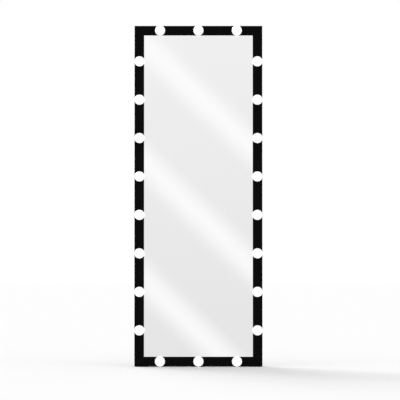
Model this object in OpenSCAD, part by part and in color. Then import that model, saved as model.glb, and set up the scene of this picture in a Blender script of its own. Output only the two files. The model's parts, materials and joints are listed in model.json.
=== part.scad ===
// Full-length lighted vanity mirror: a black steel frame with a row of globe bulbs all
// round, a folding U-shaped stand behind it, and its controls on the back.
// Millimetres. The front faces -Y, +X is to the viewer's right and +Z is up. The origin
// is on the floor, under the middle of the frame.

/* [Frame] */
// Width of the frame
frame_w = 600; // [500:1:720]
// Height of the frame without its feet
frame_h = 1598; // [1331:1:1918]
// Depth of the frame from front to back
frame_d = 45; // [44:1:60]
// Width of the face round the mirror
face_w = 45; // [42:1:60]
// Thickness of the rolled steel sheet
rail_wall = 1.5; // [1.2:0.1:2]
// Width of the lip that holds the mirror's edge
lip_w = 7.5; // [6:0.5:9]
// Depth of the inner wall behind the face
inner_wall_d = 27; // [24:1:28]
// Width of the rear flange that carries the back cover
flange_w = 16; // [14:1:18]
// Height of the rubber feet
foot_h = 2; // [1.5:0.5:6]
// Length of a rubber foot
foot_w = 60; // [40:1:80]
// Distance of an outer foot's middle from the frame's side
foot_inset = 35; // [30:1:60]
// Length of a corner bracket's leg
bracket_leg = 60; // [50:1:80]
// Thickness of a corner bracket
bracket_t = 3; // [2:0.5:4]
// Depth of a corner bracket
bracket_d = 28; // [20:1:30]

/* [Mirror pane] */
// Thickness of the glass
pane_t = 4; // [3:0.5:5]
// Thickness of the tape between the lip and the glass
tape_t = 1; // [0.5:0.5:2]
// Width of the tape
tape_w = 5; // [3:0.5:6]
// Thickness of the backing board
backing_t = 3; // [2:0.5:4]
// Width of a clip behind the pane
clip_w = 25; // [15:1:40]
// Thickness of a clip
clip_t = 1.5; // [1:0.5:2]
// How far a clip reaches over the backing board
clip_reach = 14; // [10:1:20]
// Height of a clip's leg on the inner wall
clip_leg = 14; // [12:1:16]

/* [Bulbs] */
// Diameter of a globe
globe_dia = 47.5; // [40:0.5:50]
// Thickness of a globe's wall
globe_wall = 1.2; // [0.8:0.1:2]
// Diameter of the opening where a globe meets its neck
globe_mouth = 24; // [22:0.5:26]
// Height of a globe's middle in front of the face
globe_stand = 26; // [26:0.5:34]
// Distance of the bulbs from the frame's edge
bulb_inset = 24; // [24:0.5:24.5]
// Distance from one bulb to the next
bulb_pitch = 180; // [150:1:220]
// Least distance of the end bulbs from a frame corner
bulb_end = 115; // [90:1:140]
// Diameter of the neck in its lampholder
neck_dia = 17; // [16:0.5:17.2]
// Depth of the neck behind the face
neck_d = 8; // [6:0.5:9]
// Diameter of the screw shell over its thread
shell_dia = 13.8; // [13:0.1:14]
// Length of the screw shell
shell_len = 16; // [14:0.5:18]
// Distance from one thread ridge to the next
thread_pitch = 2.82; // [2.5:0.02:3]
// Diameter of the lampholder's barrel
holder_dia = 20; // [20:0.1:20.6]
// Thickness of the lampholder's floor
holder_floor = 2.5; // [2:0.5:3]
// Diameter of the flange behind the face
holder_flange_dia = 23.2; // [22:0.1:23.4]
// Thickness of the flange behind the face
holder_flange_t = 2; // [1.5:0.5:3]
// Diameter of the ring nut in front of the face
ring_dia = 29; // [26:0.5:30]
// Thickness of the ring nut
ring_t = 2; // [1.5:0.5:3]
// Diameter of the cable that links the lampholders
loom_dia = 4.4; // [3:0.1:4.6]
// Radius of the cable's bends
loom_bend = 15; // [10:1:25]

/* [Back cover] */
// Thickness of the back cover
cover_t = 1.2; // [0.8:0.1:2]
// Largest distance from one cover screw to the next
cover_screw_pitch = 250; // [200:5:300]
// Distance of the end cover screws from a frame corner
cover_screw_end = 60; // [50:1:80]
// Distance of the cover screws from the frame's edge
cover_screw_inset = 7; // [7:0.5:7.5]
// Number of vent slots in a row
vent_count = 9; // [5:1:11]
// Length of a vent slot
vent_len = 40; // [20:1:50]
// Width of a vent slot
vent_w = 3; // [2:0.5:4]
// Distance from one vent slot to the next
vent_pitch = 12; // [8:1:14]
// Distance of the vents' middle from the frame's top and bottom
vent_from_end = 170; // [150:5:260]

/* [Wall hangers] */
// Distance of a keyhole from the frame's side
hanger_from_side = 75; // [60:1:100]
// Distance of a keyhole from the frame's top or bottom
hanger_from_end = 99; // [75:0.5:100]
// Width of a hanger plate
hanger_w = 44; // [40:1:50]
// Height of a hanger plate
hanger_h = 64; // [60:1:70]
// Thickness of a hanger plate
hanger_t = 2; // [1.5:0.5:3]
// Diameter of the keyhole's round entry
keyhole_dia = 10; // [9:0.5:12]
// Width of the keyhole's slot
keyhole_slot_w = 5; // [4.5:0.5:5]
// Length of the keyhole's slot above the entry's middle
keyhole_slot_len = 15; // [12:1:18]

/* [Stand] */
// Height of the stand's pivot over the floor
pivot_z = 600; // [500:5:720]
// Angle between the open stand and the frame
open_angle = 10; // [8:1:14]
// Distance between the legs' middles
leg_span = 320; // [260:1:384]
// Outer diameter of the stand's tube
tube_dia = 16; // [14:1:18]
// Wall thickness of the tube
tube_wall = 1.5; // [1:0.5:2]
// Radius of the bends at the tube's middle line
tube_bend = 40; // [30:1:50]
// Length of the legs above the pivot
leg_above = 24; // [20:1:28]
// Diameter of the hinge pins
pin_dia = 8; // [6:1:8]
// Thickness of the rubber sleeves on the foot bar
sleeve_t = 2; // [1.5:0.5:3]
// Length of a rubber sleeve
sleeve_len = 50; // [30:1:60]
// Distance between the middles of the two sleeves
sleeve_span = 190; // [160:1:190]
// Width of a stand bracket's base plate
base_w = 50; // [50:1:60]
// Height of a stand bracket's base plate
base_h = 58; // [58:1:70]
// Thickness of a stand bracket's sheet
base_t = 3; // [2.5:0.5:4]
// Distance between a bracket's bolts, top to bottom
bolt_span = 36; // [34:1:40]
// Height of the cross bar behind the cover
bar_h = 60; // [58:1:70]
// Thickness of the cross bar
bar_t = 3; // [2:0.5:3]

/* [Controls] */
// Width of the control housing
box_w = 68; // [64:1:80]
// Depth of the control housing
box_d = 32; // [30:1:40]
// Height of the control housing
box_h = 120; // [116:1:140]
// Wall thickness of the control housing
box_wall = 2; // [1.5:0.5:3]
// Distance of the housing's outer side from the frame's side
box_inset = 17; // [17:1:24]
// Height of the housing's middle over the floor
box_z = 910; // [860:5:1000]
// Depth of the dimmer and the switch behind the cover
control_d = 16; // [15:0.5:18]
// Height of the dimmer over the housing's middle
dimmer_rise = 27; // [24:1:32]
// Depth of the switch under the housing's middle
switch_drop = 17; // [14:1:20]
// Diameter of the dimmer knob
knob_dia = 22; // [18:1:26]
// Length of the dimmer knob
knob_len = 11.5; // [10:0.5:11.5]
// Number of grooves round the knob
knob_grooves = 18; // [12:1:24]
// Diameter of the dimmer's shaft
shaft_dia = 6; // [5:0.5:6]
// Diameter of the dimmer's threaded bushing
bushing_dia = 8; // [7.5:0.5:9]
// Half the height of the rocker's cap
rocker_half = 7.6; // [6:0.2:8]
// Width of the rocker
rocker_w = 9.8; // [8:0.2:11]
// Turn of the rocker from on to off
rocker_turn = 14; // [10:1:14]
// Diameter of the rocker's axle
axle_dia = 2.4; // [2:0.2:3]
// Inner diameter of the cord gland
gland_dia = 7; // [6:0.5:8]
// Outer diameter of the cord gland's barrel
gland_barrel = 12; // [11:0.5:13]
// Length of the cord gland
gland_len = 18; // [14:1:20]

/* [Fasteners and clearances] */
// Diameter of the cover and hanger screws
screw_dia = 3.5; // [3:0.5:3.5]
// Diameter of the clip and housing screws
small_screw_dia = 3; // [2.5:0.5:3]
// Diameter of the corner screws
corner_screw_dia = 4; // [3:0.5:5]
// Diameter of the stand bracket bolts
bolt_dia = 5; // [4:0.5:5]
// Clearance round a screw in its hole
screw_gap = 0.2; // [0.1:0.05:0.3]
// Clearance round a turning pin or shaft
pin_gap = 0.05; // [0.02:0.01:0.1]
// Clearance between pieces that move past each other
move_gap = 0.3; // [0.3:0.1:0.6]
// Clearance between a sheet and the walls round it
sheet_gap = 0.4; // [0.3:0.1:0.8]
// Clearance round the mirror pane
pane_gap = 1; // [0.5:0.5:2]

/* [Hidden] */

$fn = 64;
BLACK = [0.03, 0.03, 0.03];
STEEL = [0.62, 0.63, 0.65];
ZINC = [0.75, 0.75, 0.72];
BRASS = [0.78, 0.62, 0.3];
WHITE = [0.95, 0.95, 0.93];
over = 1;              // how far a cut runs past the surface it opens
HEAD_RATIO = 1.9;      // diameter of a small screw's head, in shank diameters
NUT_RATIO = 1.85;      // width of a nut across its corners, in bolt diameters
BRACKET_HOLES = [0.45, 0.8];   // places of the holes, as shares of a bracket's leg

SIDES = ["left", "right", "top", "bottom"];
front_y = -frame_d / 2;
back_y = frame_d / 2;
mid_z = foot_h + frame_h / 2;
top_z = foot_h + frame_h;
inner_wall_at = face_w - lip_w - rail_wall;
flange_y = back_y - cover_t - rail_wall;

// Rows of bulbs, clips and screws along a rail, measured from its middle.
function is_long(side) = side == "left" || side == "right";
function rail_len(side) = is_long(side) ? frame_h : frame_w;
function spread(count, pitch) = [for (i = [0 : count - 1]) (i - (count - 1) / 2) * pitch];
function bulb_count(side) = floor((rail_len(side) - 2 * bulb_end) / bulb_pitch) + 1;
function bulb_places(side) = spread(bulb_count(side), bulb_pitch);
function clip_places(side) = spread(bulb_count(side) - 1, bulb_pitch);
function cover_screw_run(side) = rail_len(side) - 2 * cover_screw_end;
function cover_screw_count(side) = ceil(cover_screw_run(side) / cover_screw_pitch);
function cover_screw_places(side) =
    spread(cover_screw_count(side), cover_screw_run(side) / cover_screw_count(side));

// Mirror pane and what lies behind it, front to back.
pane_front = front_y + rail_wall + tape_t;
pane_back = pane_front + pane_t;
backing_back = pane_back + backing_t;
pane_edge = inner_wall_at + rail_wall + pane_gap;
clip_screw_y = backing_back + clip_leg * 0.6;

// Bulb heights along its own axis, from the face outwards.
globe_r = globe_dia / 2;
mouth_r = globe_mouth / 2;
mouth_w = globe_stand - sqrt(globe_r * globe_r - mouth_r * mouth_r);
mouth_inner_r = sqrt(pow(globe_r - globe_wall, 2) - pow(globe_stand - mouth_w, 2));
board_w = mouth_w - 0.5;
board_t = 1.6;
neck_plate_t = 1.5;
neck_taper_w = 2;
shell_end_w = -neck_d - shell_len;
tip_w = shell_end_w - 4;
holder_end_w = tip_w - 1.5;
holder_top_w = 1.6;
holder_back_w = holder_end_w - holder_floor;
loom_y = front_y - holder_back_w + 2.5 + loom_dia / 2;
tail_dia = 1.6;        // the two wires into each lampholder
tail_at = 3;           // and their distance from its middle

// Stand
tube_r = tube_dia / 2;
pin_r = pin_dia / 2;
plate_back_y = back_y + base_t;
pivot_y = plate_back_y + move_gap + leg_above * sin(open_angle) + tube_r * cos(open_angle);
foot_r = tube_r + sleeve_t;
leg_len = (pivot_z - foot_r) / cos(open_angle);
washer_t = 1.1;
washer_gap = 0.1;
ear_gap = tube_r + move_gap + washer_t + 2 * washer_gap;   // from a leg's middle to an ear
ear_reach = pin_r + 6;
ear_root = 22;         // half the height of an ear where it leaves its base plate
ear_nose = 6;          // size of the slanted corners at an ear's end
pin_reach = ear_gap + base_t;
pin_head_t = 2.5;
pin_tail = 3.5;        // how far a pin runs past its inner ear
plug_len = 8.5;
plug_rise = 0.5;       // how far a plug stands out of its leg
bolt_x = ear_gap + base_t + bolt_dia;
bar_front = flange_y + rail_wall - bar_t;
bar_end = frame_w / 2 - cover_screw_inset - screw_dia / 2 - 0.75;
bar_step = frame_w / 2 - rail_wall - flange_w;

// Controls
box_x1 = frame_w / 2 - box_inset;
box_x0 = box_x1 - box_w;
box_mid_x = (box_x0 + box_x1) / 2;
box_z0 = box_z - box_h / 2;
box_z1 = box_z + box_h / 2;
control_y = back_y + control_d;
dimmer_z = box_z + dimmer_rise;
switch_z = box_z - switch_drop;
tab_h = 12;
tab_w = 24;
tab_t = 3;
gland_x = box_x0 + 25;
gland_y = back_y + box_d - box_wall - gland_barrel / 2 - 3;
grommet_x = box_x0 + 20;
grommet_z = box_z + 38;
grommet_r = 4;
feed_r = 1.8;
nut_t = 2.4;
gland_out = 10;        // how far the gland reaches under the housing
knob_x0 = box_x1 + 3;
rocker_rise = 6.5;
bezel_t = 1.6;
bezel_lip = 1.2;       // how far the bezel reaches over the housing
axle_depth = 5.1;      // depth of the rocker's axle under the bezel's face
rocker_x = box_x1 + bezel_t - axle_depth;
well_half = rocker_half * 1.12 + move_gap;
well_half_w = rocker_w / 2 + move_gap + 0.1;
switch_half = well_half + 1.4;
switch_half_w = well_half_w + 1.7;
switch_d = 18;

// Where the driver board lies inside the housing, and what stands on it
board_x0 = box_x0 + box_wall + 2;
board_y = back_y + 5;
board_len = box_h - 2 * box_wall - 8;
board_width = box_w - 2 * box_wall - 24;
driver_t = 1.6;
post_inset = 4;

// ---- Shared shapes ----

// Points of a rectangle about the origin with rounded corners
function rounded(w, h, r, steps = 6) = [
    for (c = [[1, 1, 0], [-1, 1, 90], [-1, -1, 180], [1, -1, 270]])
        for (i = [0 : steps])
            [c[0] * (w / 2 - r) + r * cos(c[2] + 90 * i / steps),
             c[1] * (h / 2 - r) + r * sin(c[2] + 90 * i / steps)]
];

// A plate with its outline in X and Z and its thickness along Y, from y0 backwards
module plate_xz(w, h, t, r, y0) {
    translate([0, y0 + t, 0])
        rotate([90, 0, 0])
            linear_extrude(height = t) polygon(rounded(w, h, r));
}

// A cylinder along Y from y0 to y1
module rod_y(d, y0, y1) {
    translate([0, y1, 0]) rotate([90, 0, 0]) cylinder(d = d, h = y1 - y0);
}

// A cylinder along X from x0 to x1
module rod_x(d, x0, x1) {
    translate([x0, 0, 0]) rotate([0, 90, 0]) cylinder(d = d, h = x1 - x0);
}

// A pan head screw: its head stands from y = 0 backwards and its shank points forwards
module pan_screw_y(d, len) {
    rod_y(d, -len, 0);
    difference() {
        rod_y(d * 2, 0, d * 0.5);
        translate([-d * 0.7, d * 0.25, -d * 0.12]) cube([d * 1.4, d, d * 0.24]);
        translate([-d * 0.12, d * 0.25, -d * 0.7]) cube([d * 0.24, d, d * 1.4]);
    }
}

// Puts a rail's own frame on each side: X along the rail, Y the depth, Z inwards
module on_side(side) {
    if (side == "bottom") translate([0, 0, foot_h]) children();
    if (side == "top") translate([0, 0, top_z]) mirror([0, 0, 1]) children();
    if (side == "left") translate([-frame_w / 2, 0, mid_z]) rotate([0, 90, 0]) children();
    if (side == "right")
        translate([frame_w / 2, 0, mid_z]) mirror([1, 0, 0]) rotate([0, 90, 0]) children();
}

// Puts a bulb's own frame at each bulb of a side: Z points out of the face
module at_bulbs(side) {
    on_side(side)
        for (s = bulb_places(side))
            translate([s, front_y, bulb_inset]) rotate([90, 0, 0]) children();
}

module at_all_bulbs() {
    for (side = SIDES) at_bulbs(side) children();
}

module at_clips() {
    for (side = SIDES)
        on_side(side)
            for (s = clip_places(side)) translate([s, 0, 0]) children();
}

module at_cover_screws(side) {
    on_side(side)
        for (s = cover_screw_places(side)) translate([s, 0, cover_screw_inset]) children();
}

// The two screw places on each leg of a corner bracket, in a rail's own frame
function corner_places(side) = [
    for (end = [-1, 1]) for (d = BRACKET_HOLES) end * (rail_len(side) / 2 - bracket_leg * d)
];

module at_hangers() {
    for (x = [-1, 1])
        for (z = [-1, 1])
            translate([x * (frame_w / 2 - hanger_from_side), 0,
                       mid_z + z * (frame_h / 2 - hanger_from_end)]) children();
}

module at_legs() {
    for (x = [-1, 1]) translate([x * leg_span / 2, 0, 0]) children();
}

module at_bolts() {
    at_legs()
        for (x = [-1, 1])
            for (z = [-1, 1]) translate([x * bolt_x, 0, pivot_z + z * bolt_span / 2]) children();
}

// ---- Frame ----

// The rolled section, with X inwards from the frame's edge and Y the depth
module rail_section() {
    t = rail_wall;
    polygon([
        [0, front_y], [face_w, front_y], [face_w, front_y + t],
        [inner_wall_at + t, front_y + t], [inner_wall_at + t, front_y + t + inner_wall_d],
        [inner_wall_at, front_y + t + inner_wall_d], [inner_wall_at, front_y + t],
        [t, front_y + t], [t, flange_y], [t + flange_w, flange_y],
        [t + flange_w, flange_y + t], [t, flange_y + t], [t, back_y], [0, back_y]
    ]);
}

// One mitred rail with all its holes, in its own frame
module rail(side) {
    len = rail_len(side);
    difference() {
        intersection() {
            rotate([0, -90, 0]) linear_extrude(height = len, center = true) rail_section();
            translate([0, back_y + over, 0])
                rotate([90, 0, 0])
                    linear_extrude(height = frame_d + 2 * over)
                        polygon([
                            [-len / 2, 0], [len / 2, 0],
                            [len / 2 - face_w, face_w], [-len / 2 + face_w, face_w]
                        ]);
        }
        for (s = bulb_places(side))
            translate([s, 0, bulb_inset])
                rod_y(holder_dia + 2 * screw_gap, front_y - over, front_y + rail_wall + over);
        for (s = clip_places(side))
            translate([s, clip_screw_y, inner_wall_at - over])
                cylinder(d = small_screw_dia + 2 * screw_gap, h = rail_wall + 2 * over);
        for (s = cover_screw_places(side))
            translate([s, 0, cover_screw_inset])
                rod_y(screw_dia + 2 * screw_gap, flange_y - over, flange_y + rail_wall + over);
        for (s = corner_places(side))
            translate([s, 0, -over])
                cylinder(d = corner_screw_dia + 2 * screw_gap, h = rail_wall + 2 * over);
    }
}

module rail_left() { color(BLACK) on_side("left") rail("left"); }
module rail_right() { color(BLACK) on_side("right") rail("right"); }
module rail_top() { color(BLACK) on_side("top") rail("top"); }
module rail_bottom() { color(BLACK) on_side("bottom") rail("bottom"); }

// L-shaped brackets that join the rails inside their outer walls
module corner_brackets() {
    color(ZINC)
        for (x = [-1, 1])
            for (z = [-1, 1])
                translate([x * (frame_w / 2 - rail_wall), 0, mid_z + z * (frame_h / 2 - rail_wall)])
                    mirror([x > 0 ? 1 : 0, 0, 0])
                        mirror([0, 0, z > 0 ? 1 : 0])
                            corner_bracket();
}

module corner_bracket() {
    difference() {
        translate([0, bracket_d / 2, 0])
            rotate([90, 0, 0])
                linear_extrude(height = bracket_d)
                    polygon([
                        [0, 0], [bracket_leg, 0], [bracket_leg, bracket_t],
                        [bracket_t, bracket_t], [bracket_t, bracket_leg], [0, bracket_leg]
                    ]);
        for (d = BRACKET_HOLES) {
            translate([bracket_leg * d - rail_wall, 0, -over])
                cylinder(d = corner_screw_dia + 2 * screw_gap, h = bracket_t + 2 * over);
            translate([0, 0, bracket_leg * d - rail_wall])
                rod_x(corner_screw_dia + 2 * screw_gap, -over, bracket_t + over);
        }
    }
}

// Screws that hold the brackets, with their heads inside the frame
module corner_screws() {
    color(STEEL)
        for (side = SIDES)
            on_side(side)
                for (s = corner_places(side)) translate([s, 0, 0]) corner_screw();
}

module corner_screw() {
    head_at = rail_wall + bracket_t;
    translate([0, 0, screw_gap]) cylinder(d = corner_screw_dia, h = head_at - screw_gap);
    difference() {
        translate([0, 0, head_at]) cylinder(d = corner_screw_dia * HEAD_RATIO, h = 2.2);
        translate([0, 0, head_at + 1]) cylinder(d = corner_screw_dia * 0.7, h = 2.2, $fn = 6);
    }
}

module rubber_feet() {
    color(BLACK)
        for (x = [-1, 0, 1])
            translate([x * (frame_w / 2 - foot_inset), 0, 0])
                linear_extrude(height = foot_h) polygon(rounded(foot_w, frame_d - 3, 4));
}

// ---- Mirror pane ----

// A sheet inside the frame whose edge lies at inset from the frame's edge
module sheet(inset, y0, t) {
    translate([-frame_w / 2 + inset, y0, foot_h + inset])
        cube([frame_w - 2 * inset, t, frame_h - 2 * inset]);
}

module mirror_pane() { color([0.86, 0.87, 0.88]) sheet(pane_edge, pane_front, pane_t); }

module glazing_tape() {
    color([0.2, 0.2, 0.2])
        difference() {
            sheet(face_w - 1 - tape_w, front_y + rail_wall, tape_t);
            sheet(face_w - 1, front_y + rail_wall - over, tape_t + 2 * over);
        }
}

module backing_board() { color([0.5, 0.38, 0.25]) sheet(pane_edge + 0.5, pane_back, backing_t); }

// Angle clips that press the board and the pane against the lip
module pane_clips() {
    color(ZINC)
        at_clips()
            difference() {
                translate([-clip_w / 2, backing_back, inner_wall_at + rail_wall])
                    union() {
                        cube([clip_w, clip_leg, clip_t]);
                        cube([clip_w, clip_t, clip_reach]);
                    }
                translate([0, clip_screw_y, inner_wall_at])
                    cylinder(d = small_screw_dia + 2 * screw_gap, h = face_w);
            }
}

module pane_clip_screws() {
    head_at = inner_wall_at + rail_wall + clip_t;
    color(STEEL)
        at_clips()
            translate([0, clip_screw_y, 0]) {
                translate([0, 0, inner_wall_at - 1.5])
                    cylinder(d = small_screw_dia, h = head_at - inner_wall_at + 1.5);
                translate([0, 0, head_at]) cylinder(d = small_screw_dia * HEAD_RATIO, h = 1.8);
            }
}

// ---- Bulbs ----

module globe() {
    translate([0, 0, globe_stand])
        difference() {
            sphere(d = globe_dia);
            sphere(d = globe_dia - 2 * globe_wall);
            translate([0, 0, -globe_dia])
                cylinder(r = globe_r, h = globe_dia - globe_stand + mouth_w);
        }
}

module globes(side) { color(WHITE) at_bulbs(side) globe(); }

module globes_left() { globes("left"); }
module globes_right() { globes("right"); }
module globes_top() { globes("top"); }
module globes_bottom() { globes("bottom"); }

// Hollow neck between the globe and the screw shell
module neck() {
    r = neck_dia / 2;
    rotate_extrude()
        polygon([
            [0, board_w - neck_plate_t], [r - 1.5, board_w - neck_plate_t], [r - 1.5, 1 - neck_d],
            [shell_dia / 2 - 1.5, 1 - neck_d], [shell_dia / 2 - 1.5, -neck_d], [r, -neck_d],
            [r, neck_taper_w], [mouth_r, mouth_w], [mouth_inner_r, mouth_w],
            [mouth_inner_r, board_w], [0, board_w]
        ]);
}

module bulb_necks() { color(WHITE) at_all_bulbs() neck(); }

// Round LED board with its chip in the middle
module bulb_led_boards() {
    color([0.9, 0.9, 0.85])
        at_all_bulbs() {
            translate([0, 0, board_w]) cylinder(r = mouth_inner_r - 0.2, h = board_t);
            translate([0, 0, board_w + board_t]) cylinder(r = 4, h = 0.8);
        }
}

// Screw shell with ridges for its thread
module screw_shell() {
    r = shell_dia / 2;
    ridges = floor((shell_len - 2) / thread_pitch);
    start = -neck_d - 1;
    rotate_extrude()
        polygon(concat(
            [[r - 0.9, shell_end_w], [r - 0.9, -neck_d], [r - 0.4, -neck_d]],
            [for (i = [0 : ridges - 1]) for (p = [[-0.4, 0], [0, 0.35], [0, 0.65], [-0.4, 1]])
                [r + p[0], start - thread_pitch * (i + p[1] * 0.9)]],
            [[r - 0.4, shell_end_w]]
        ));
}

module bulb_screw_shells() { color(ZINC) at_all_bulbs() screw_shell(); }

module bulb_insulators() {
    r = shell_dia / 2;
    color([0.1, 0.1, 0.1])
        at_all_bulbs()
            rotate_extrude()
                polygon([
                    [0, tip_w + 1.5], [2.4, tip_w + 1.5], [r - 0.9, shell_end_w],
                    [r - 0.9, shell_end_w + 1.5], [0, shell_end_w + 1.5]
                ]);
}

module bulb_tip_contacts() {
    color(ZINC) at_all_bulbs() translate([0, 0, tip_w]) cylinder(r = 2.2, h = 1.5);
}

// Barrel through the face with a flange behind it, a wide mouth and a narrow bore
module lampholder() {
    r = holder_dia / 2;
    flange_w1 = -rail_wall;
    flange_w0 = flange_w1 - holder_flange_t;
    mouth = neck_dia / 2 + move_gap + screw_gap;
    bore = shell_dia / 2 + move_gap;
    step_w = -neck_d - 0.6;
    rotate_extrude()
        polygon([
            [0, holder_back_w], [r, holder_back_w], [r, flange_w0],
            [holder_flange_dia / 2, flange_w0], [holder_flange_dia / 2, flange_w1],
            [r, flange_w1], [r, holder_top_w], [mouth, holder_top_w], [mouth, step_w],
            [bore, step_w], [bore, holder_end_w], [0, holder_end_w]
        ]);
}

module lampholders() { color([0.08, 0.08, 0.08]) at_all_bulbs() lampholder(); }

module lampholder_rings() {
    color(BLACK)
        at_all_bulbs()
            rotate_extrude()
                polygon([
                    [holder_dia / 2 + pin_gap, 0], [ring_dia / 2, 0], [ring_dia / 2, ring_t - 0.7],
                    [ring_dia / 2 - 0.7, ring_t], [holder_dia / 2 + pin_gap, ring_t]
                ]);
}

// Spring leaf under the tip of each bulb
module lampholder_contacts() {
    color(BRASS)
        at_all_bulbs()
            translate([-2, -5, holder_end_w]) cube([4, 10, tip_w - holder_end_w]);
}

// Cable round the frame behind the lampholders, with two tails into each
module wire_loom() {
    r = loom_dia / 2;
    color([0.12, 0.12, 0.12])
        union() {
            for (side = SIDES)
                on_side(side) {
                    run = rail_len(side) - 2 * (bulb_inset + loom_bend);
                    translate([-run / 2, loom_y, bulb_inset])
                        rotate([0, 90, 0]) cylinder(r = r, h = run);
                    for (s = bulb_places(side))
                        for (x = [-tail_at, tail_at])
                            translate([s + x, 0, bulb_inset])
                                rod_y(tail_dia, front_y - holder_back_w, loom_y);
                }
            for (x = [0, 1])
                for (z = [0, 1])
                    loom_corner(x, z);
        }
}

module loom_corner(x, z) {
    reach_x = frame_w / 2 - bulb_inset - loom_bend;
    reach_z = frame_h / 2 - bulb_inset - loom_bend;
    translate([(2 * x - 1) * reach_x, loom_y, mid_z + (2 * z - 1) * reach_z])
        mirror([1 - x, 0, 0])
            mirror([0, 0, 1 - z])
                rotate([90, 0, 0])
                    rotate_extrude(angle = 90) translate([loom_bend, 0]) circle(r = loom_dia / 2);
}

// ---- Back ----

module back_cover() {
    color(BLACK)
        difference() {
            sheet(rail_wall + sheet_gap, back_y - cover_t, cover_t);
            for (side = SIDES)
                at_cover_screws(side) through_cover(screw_dia);
            at_hangers() {
                translate([-keyhole_dia, back_y - cover_t - over, -keyhole_dia])
                    cube([2 * keyhole_dia, cover_t + 2 * over, 2 * keyhole_dia + keyhole_slot_len - 4]);
                for (z = [-1, 1])
                    translate([0, 0, z * (hanger_h / 2 - 5)]) through_cover(screw_dia);
            }
            at_bolts() through_cover(bolt_dia);
            at_tabs() through_cover(small_screw_dia);
            translate([grommet_x, 0, grommet_z]) through_cover(2 * grommet_r);
            for (end = [-1, 1])
                for (x = spread(vent_count, vent_pitch))
                    translate([x - vent_w / 2, back_y - cover_t - over,
                               mid_z + end * (frame_h / 2 - vent_from_end) - vent_len / 2])
                        cube([vent_w, cover_t + 2 * over, vent_len]);
        }
}

module through_cover(d) {
    rod_y(d + 2 * screw_gap, back_y - cover_t - over, back_y + over);
}

module cover_screws() {
    color(STEEL)
        for (side = SIDES)
            at_cover_screws(side) translate([0, back_y, 0]) pan_screw_y(screw_dia, 8);
}

// Plates with a keyhole each, over a window in the cover
module hanger_plates() {
    color(ZINC)
        at_hangers()
            difference() {
                plate_xz(hanger_w, hanger_h, hanger_t, 4, back_y);
                rod_y(keyhole_dia, back_y - over, back_y + hanger_t + over);
                translate([-keyhole_slot_w / 2, back_y - over, 0])
                    cube([keyhole_slot_w, hanger_t + 2 * over, keyhole_slot_len]);
                for (z = [-1, 1])
                    translate([0, 0, z * (hanger_h / 2 - 5)])
                        rod_y(screw_dia + 2 * screw_gap, back_y - over, back_y + hanger_t + over);
            }
}

module hanger_screws() {
    color(STEEL)
        at_hangers()
            for (z = [-1, 1])
                translate([0, back_y + hanger_t, z * (hanger_h / 2 - 5)]) pan_screw_y(screw_dia, 8);
}

// ---- Stand ----

// Bar behind the cover from side to side, its ends set under the rear flanges
module stand_cross_bar() {
    slope = 5;
    deep = flange_y - bar_t;
    color(ZINC)
        difference() {
            translate([0, 0, pivot_z - bar_h / 2])
                linear_extrude(height = bar_h)
                    polygon([
                        [-bar_end, deep], [1 - bar_step, deep], [1 + slope - bar_step, bar_front],
                        [bar_step - slope - 1, bar_front], [bar_step - 1, deep], [bar_end, deep],
                        [bar_end, flange_y], [bar_step - 0.5, flange_y],
                        [bar_step - 0.5 - slope, bar_front + bar_t],
                        [0.5 + slope - bar_step, bar_front + bar_t],
                        [0.5 - bar_step, flange_y], [-bar_end, flange_y]
                    ]);
            at_bolts() rod_y(bolt_dia + 2 * screw_gap, deep - over, back_y);
        }
}

// Clevis: a base plate on the cover and two ears for the pin
module stand_brackets() {
    color(BLACK)
        at_legs()
            difference() {
                union() {
                    translate([0, 0, pivot_z]) plate_xz(base_w, base_h, base_t, 5, back_y);
                    for (x = [-1, 1])
                        translate([x * (ear_gap + base_t / 2) - base_t / 2, 0, 0]) stand_ear();
                }
                translate([0, pivot_y, pivot_z])
                    rod_x(pin_dia + 2 * pin_gap, -base_w, base_w);
                for (x = [-1, 1])
                    for (z = [-1, 1])
                        translate([x * bolt_x, 0, pivot_z + z * bolt_span / 2])
                            rod_y(bolt_dia + 2 * screw_gap, back_y - over, plate_back_y + over);
            }
}

module stand_ear() {
    reach = pivot_y + ear_reach - plate_back_y + over;
    translate([0, plate_back_y - over, pivot_z])
        rotate([90, 0, 90])
            linear_extrude(height = base_t)
                polygon([
                    [0, -ear_root], [reach - ear_nose, -ear_reach], [reach, ear_nose - ear_reach],
                    [reach, ear_reach - ear_nose], [reach - ear_nose, ear_reach], [0, ear_root]
                ]);
}

module stand_bolts() {
    color(STEEL)
        at_bolts()
            translate([0, plate_back_y, 0])
                pan_screw_y(bolt_dia, plate_back_y - bar_front + 5);
}

module stand_nuts() {
    color(STEEL)
        at_bolts()
            translate([0, bar_front, 0])
                rotate([90, 0, 0])
                    difference() {
                        cylinder(d = bolt_dia * NUT_RATIO, h = 4, $fn = 6);
                        translate([0, 0, -over]) cylinder(d = bolt_dia + 2 * pin_gap, h = 4 + 2 * over);
                    }
}

// Pins through the ears and the legs, with a head on the outer side
module stand_pins() {
    color(STEEL)
        for (x = [-1, 1])
            translate([x * leg_span / 2, pivot_y, pivot_z])
                mirror([x > 0 ? 0 : 1, 0, 0]) {
                    rod_x(pin_dia, -pin_reach - pin_tail, pin_reach);
                    rod_x(pin_dia + 6, pin_reach, pin_reach + pin_head_t);
                }
}

// Push-on clips that keep the pins in
module stand_pin_clips() {
    color(STEEL)
        for (x = [-1, 1])
            translate([x * leg_span / 2, pivot_y, pivot_z])
                mirror([x > 0 ? 0 : 1, 0, 0])
                    difference() {
                        rod_x(pin_dia + 5, -pin_reach - 1.5, -pin_reach - 0.3);
                        rod_x(pin_dia + 2 * pin_gap, -pin_reach - pin_tail, -pin_reach + over);
                    }
}

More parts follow.
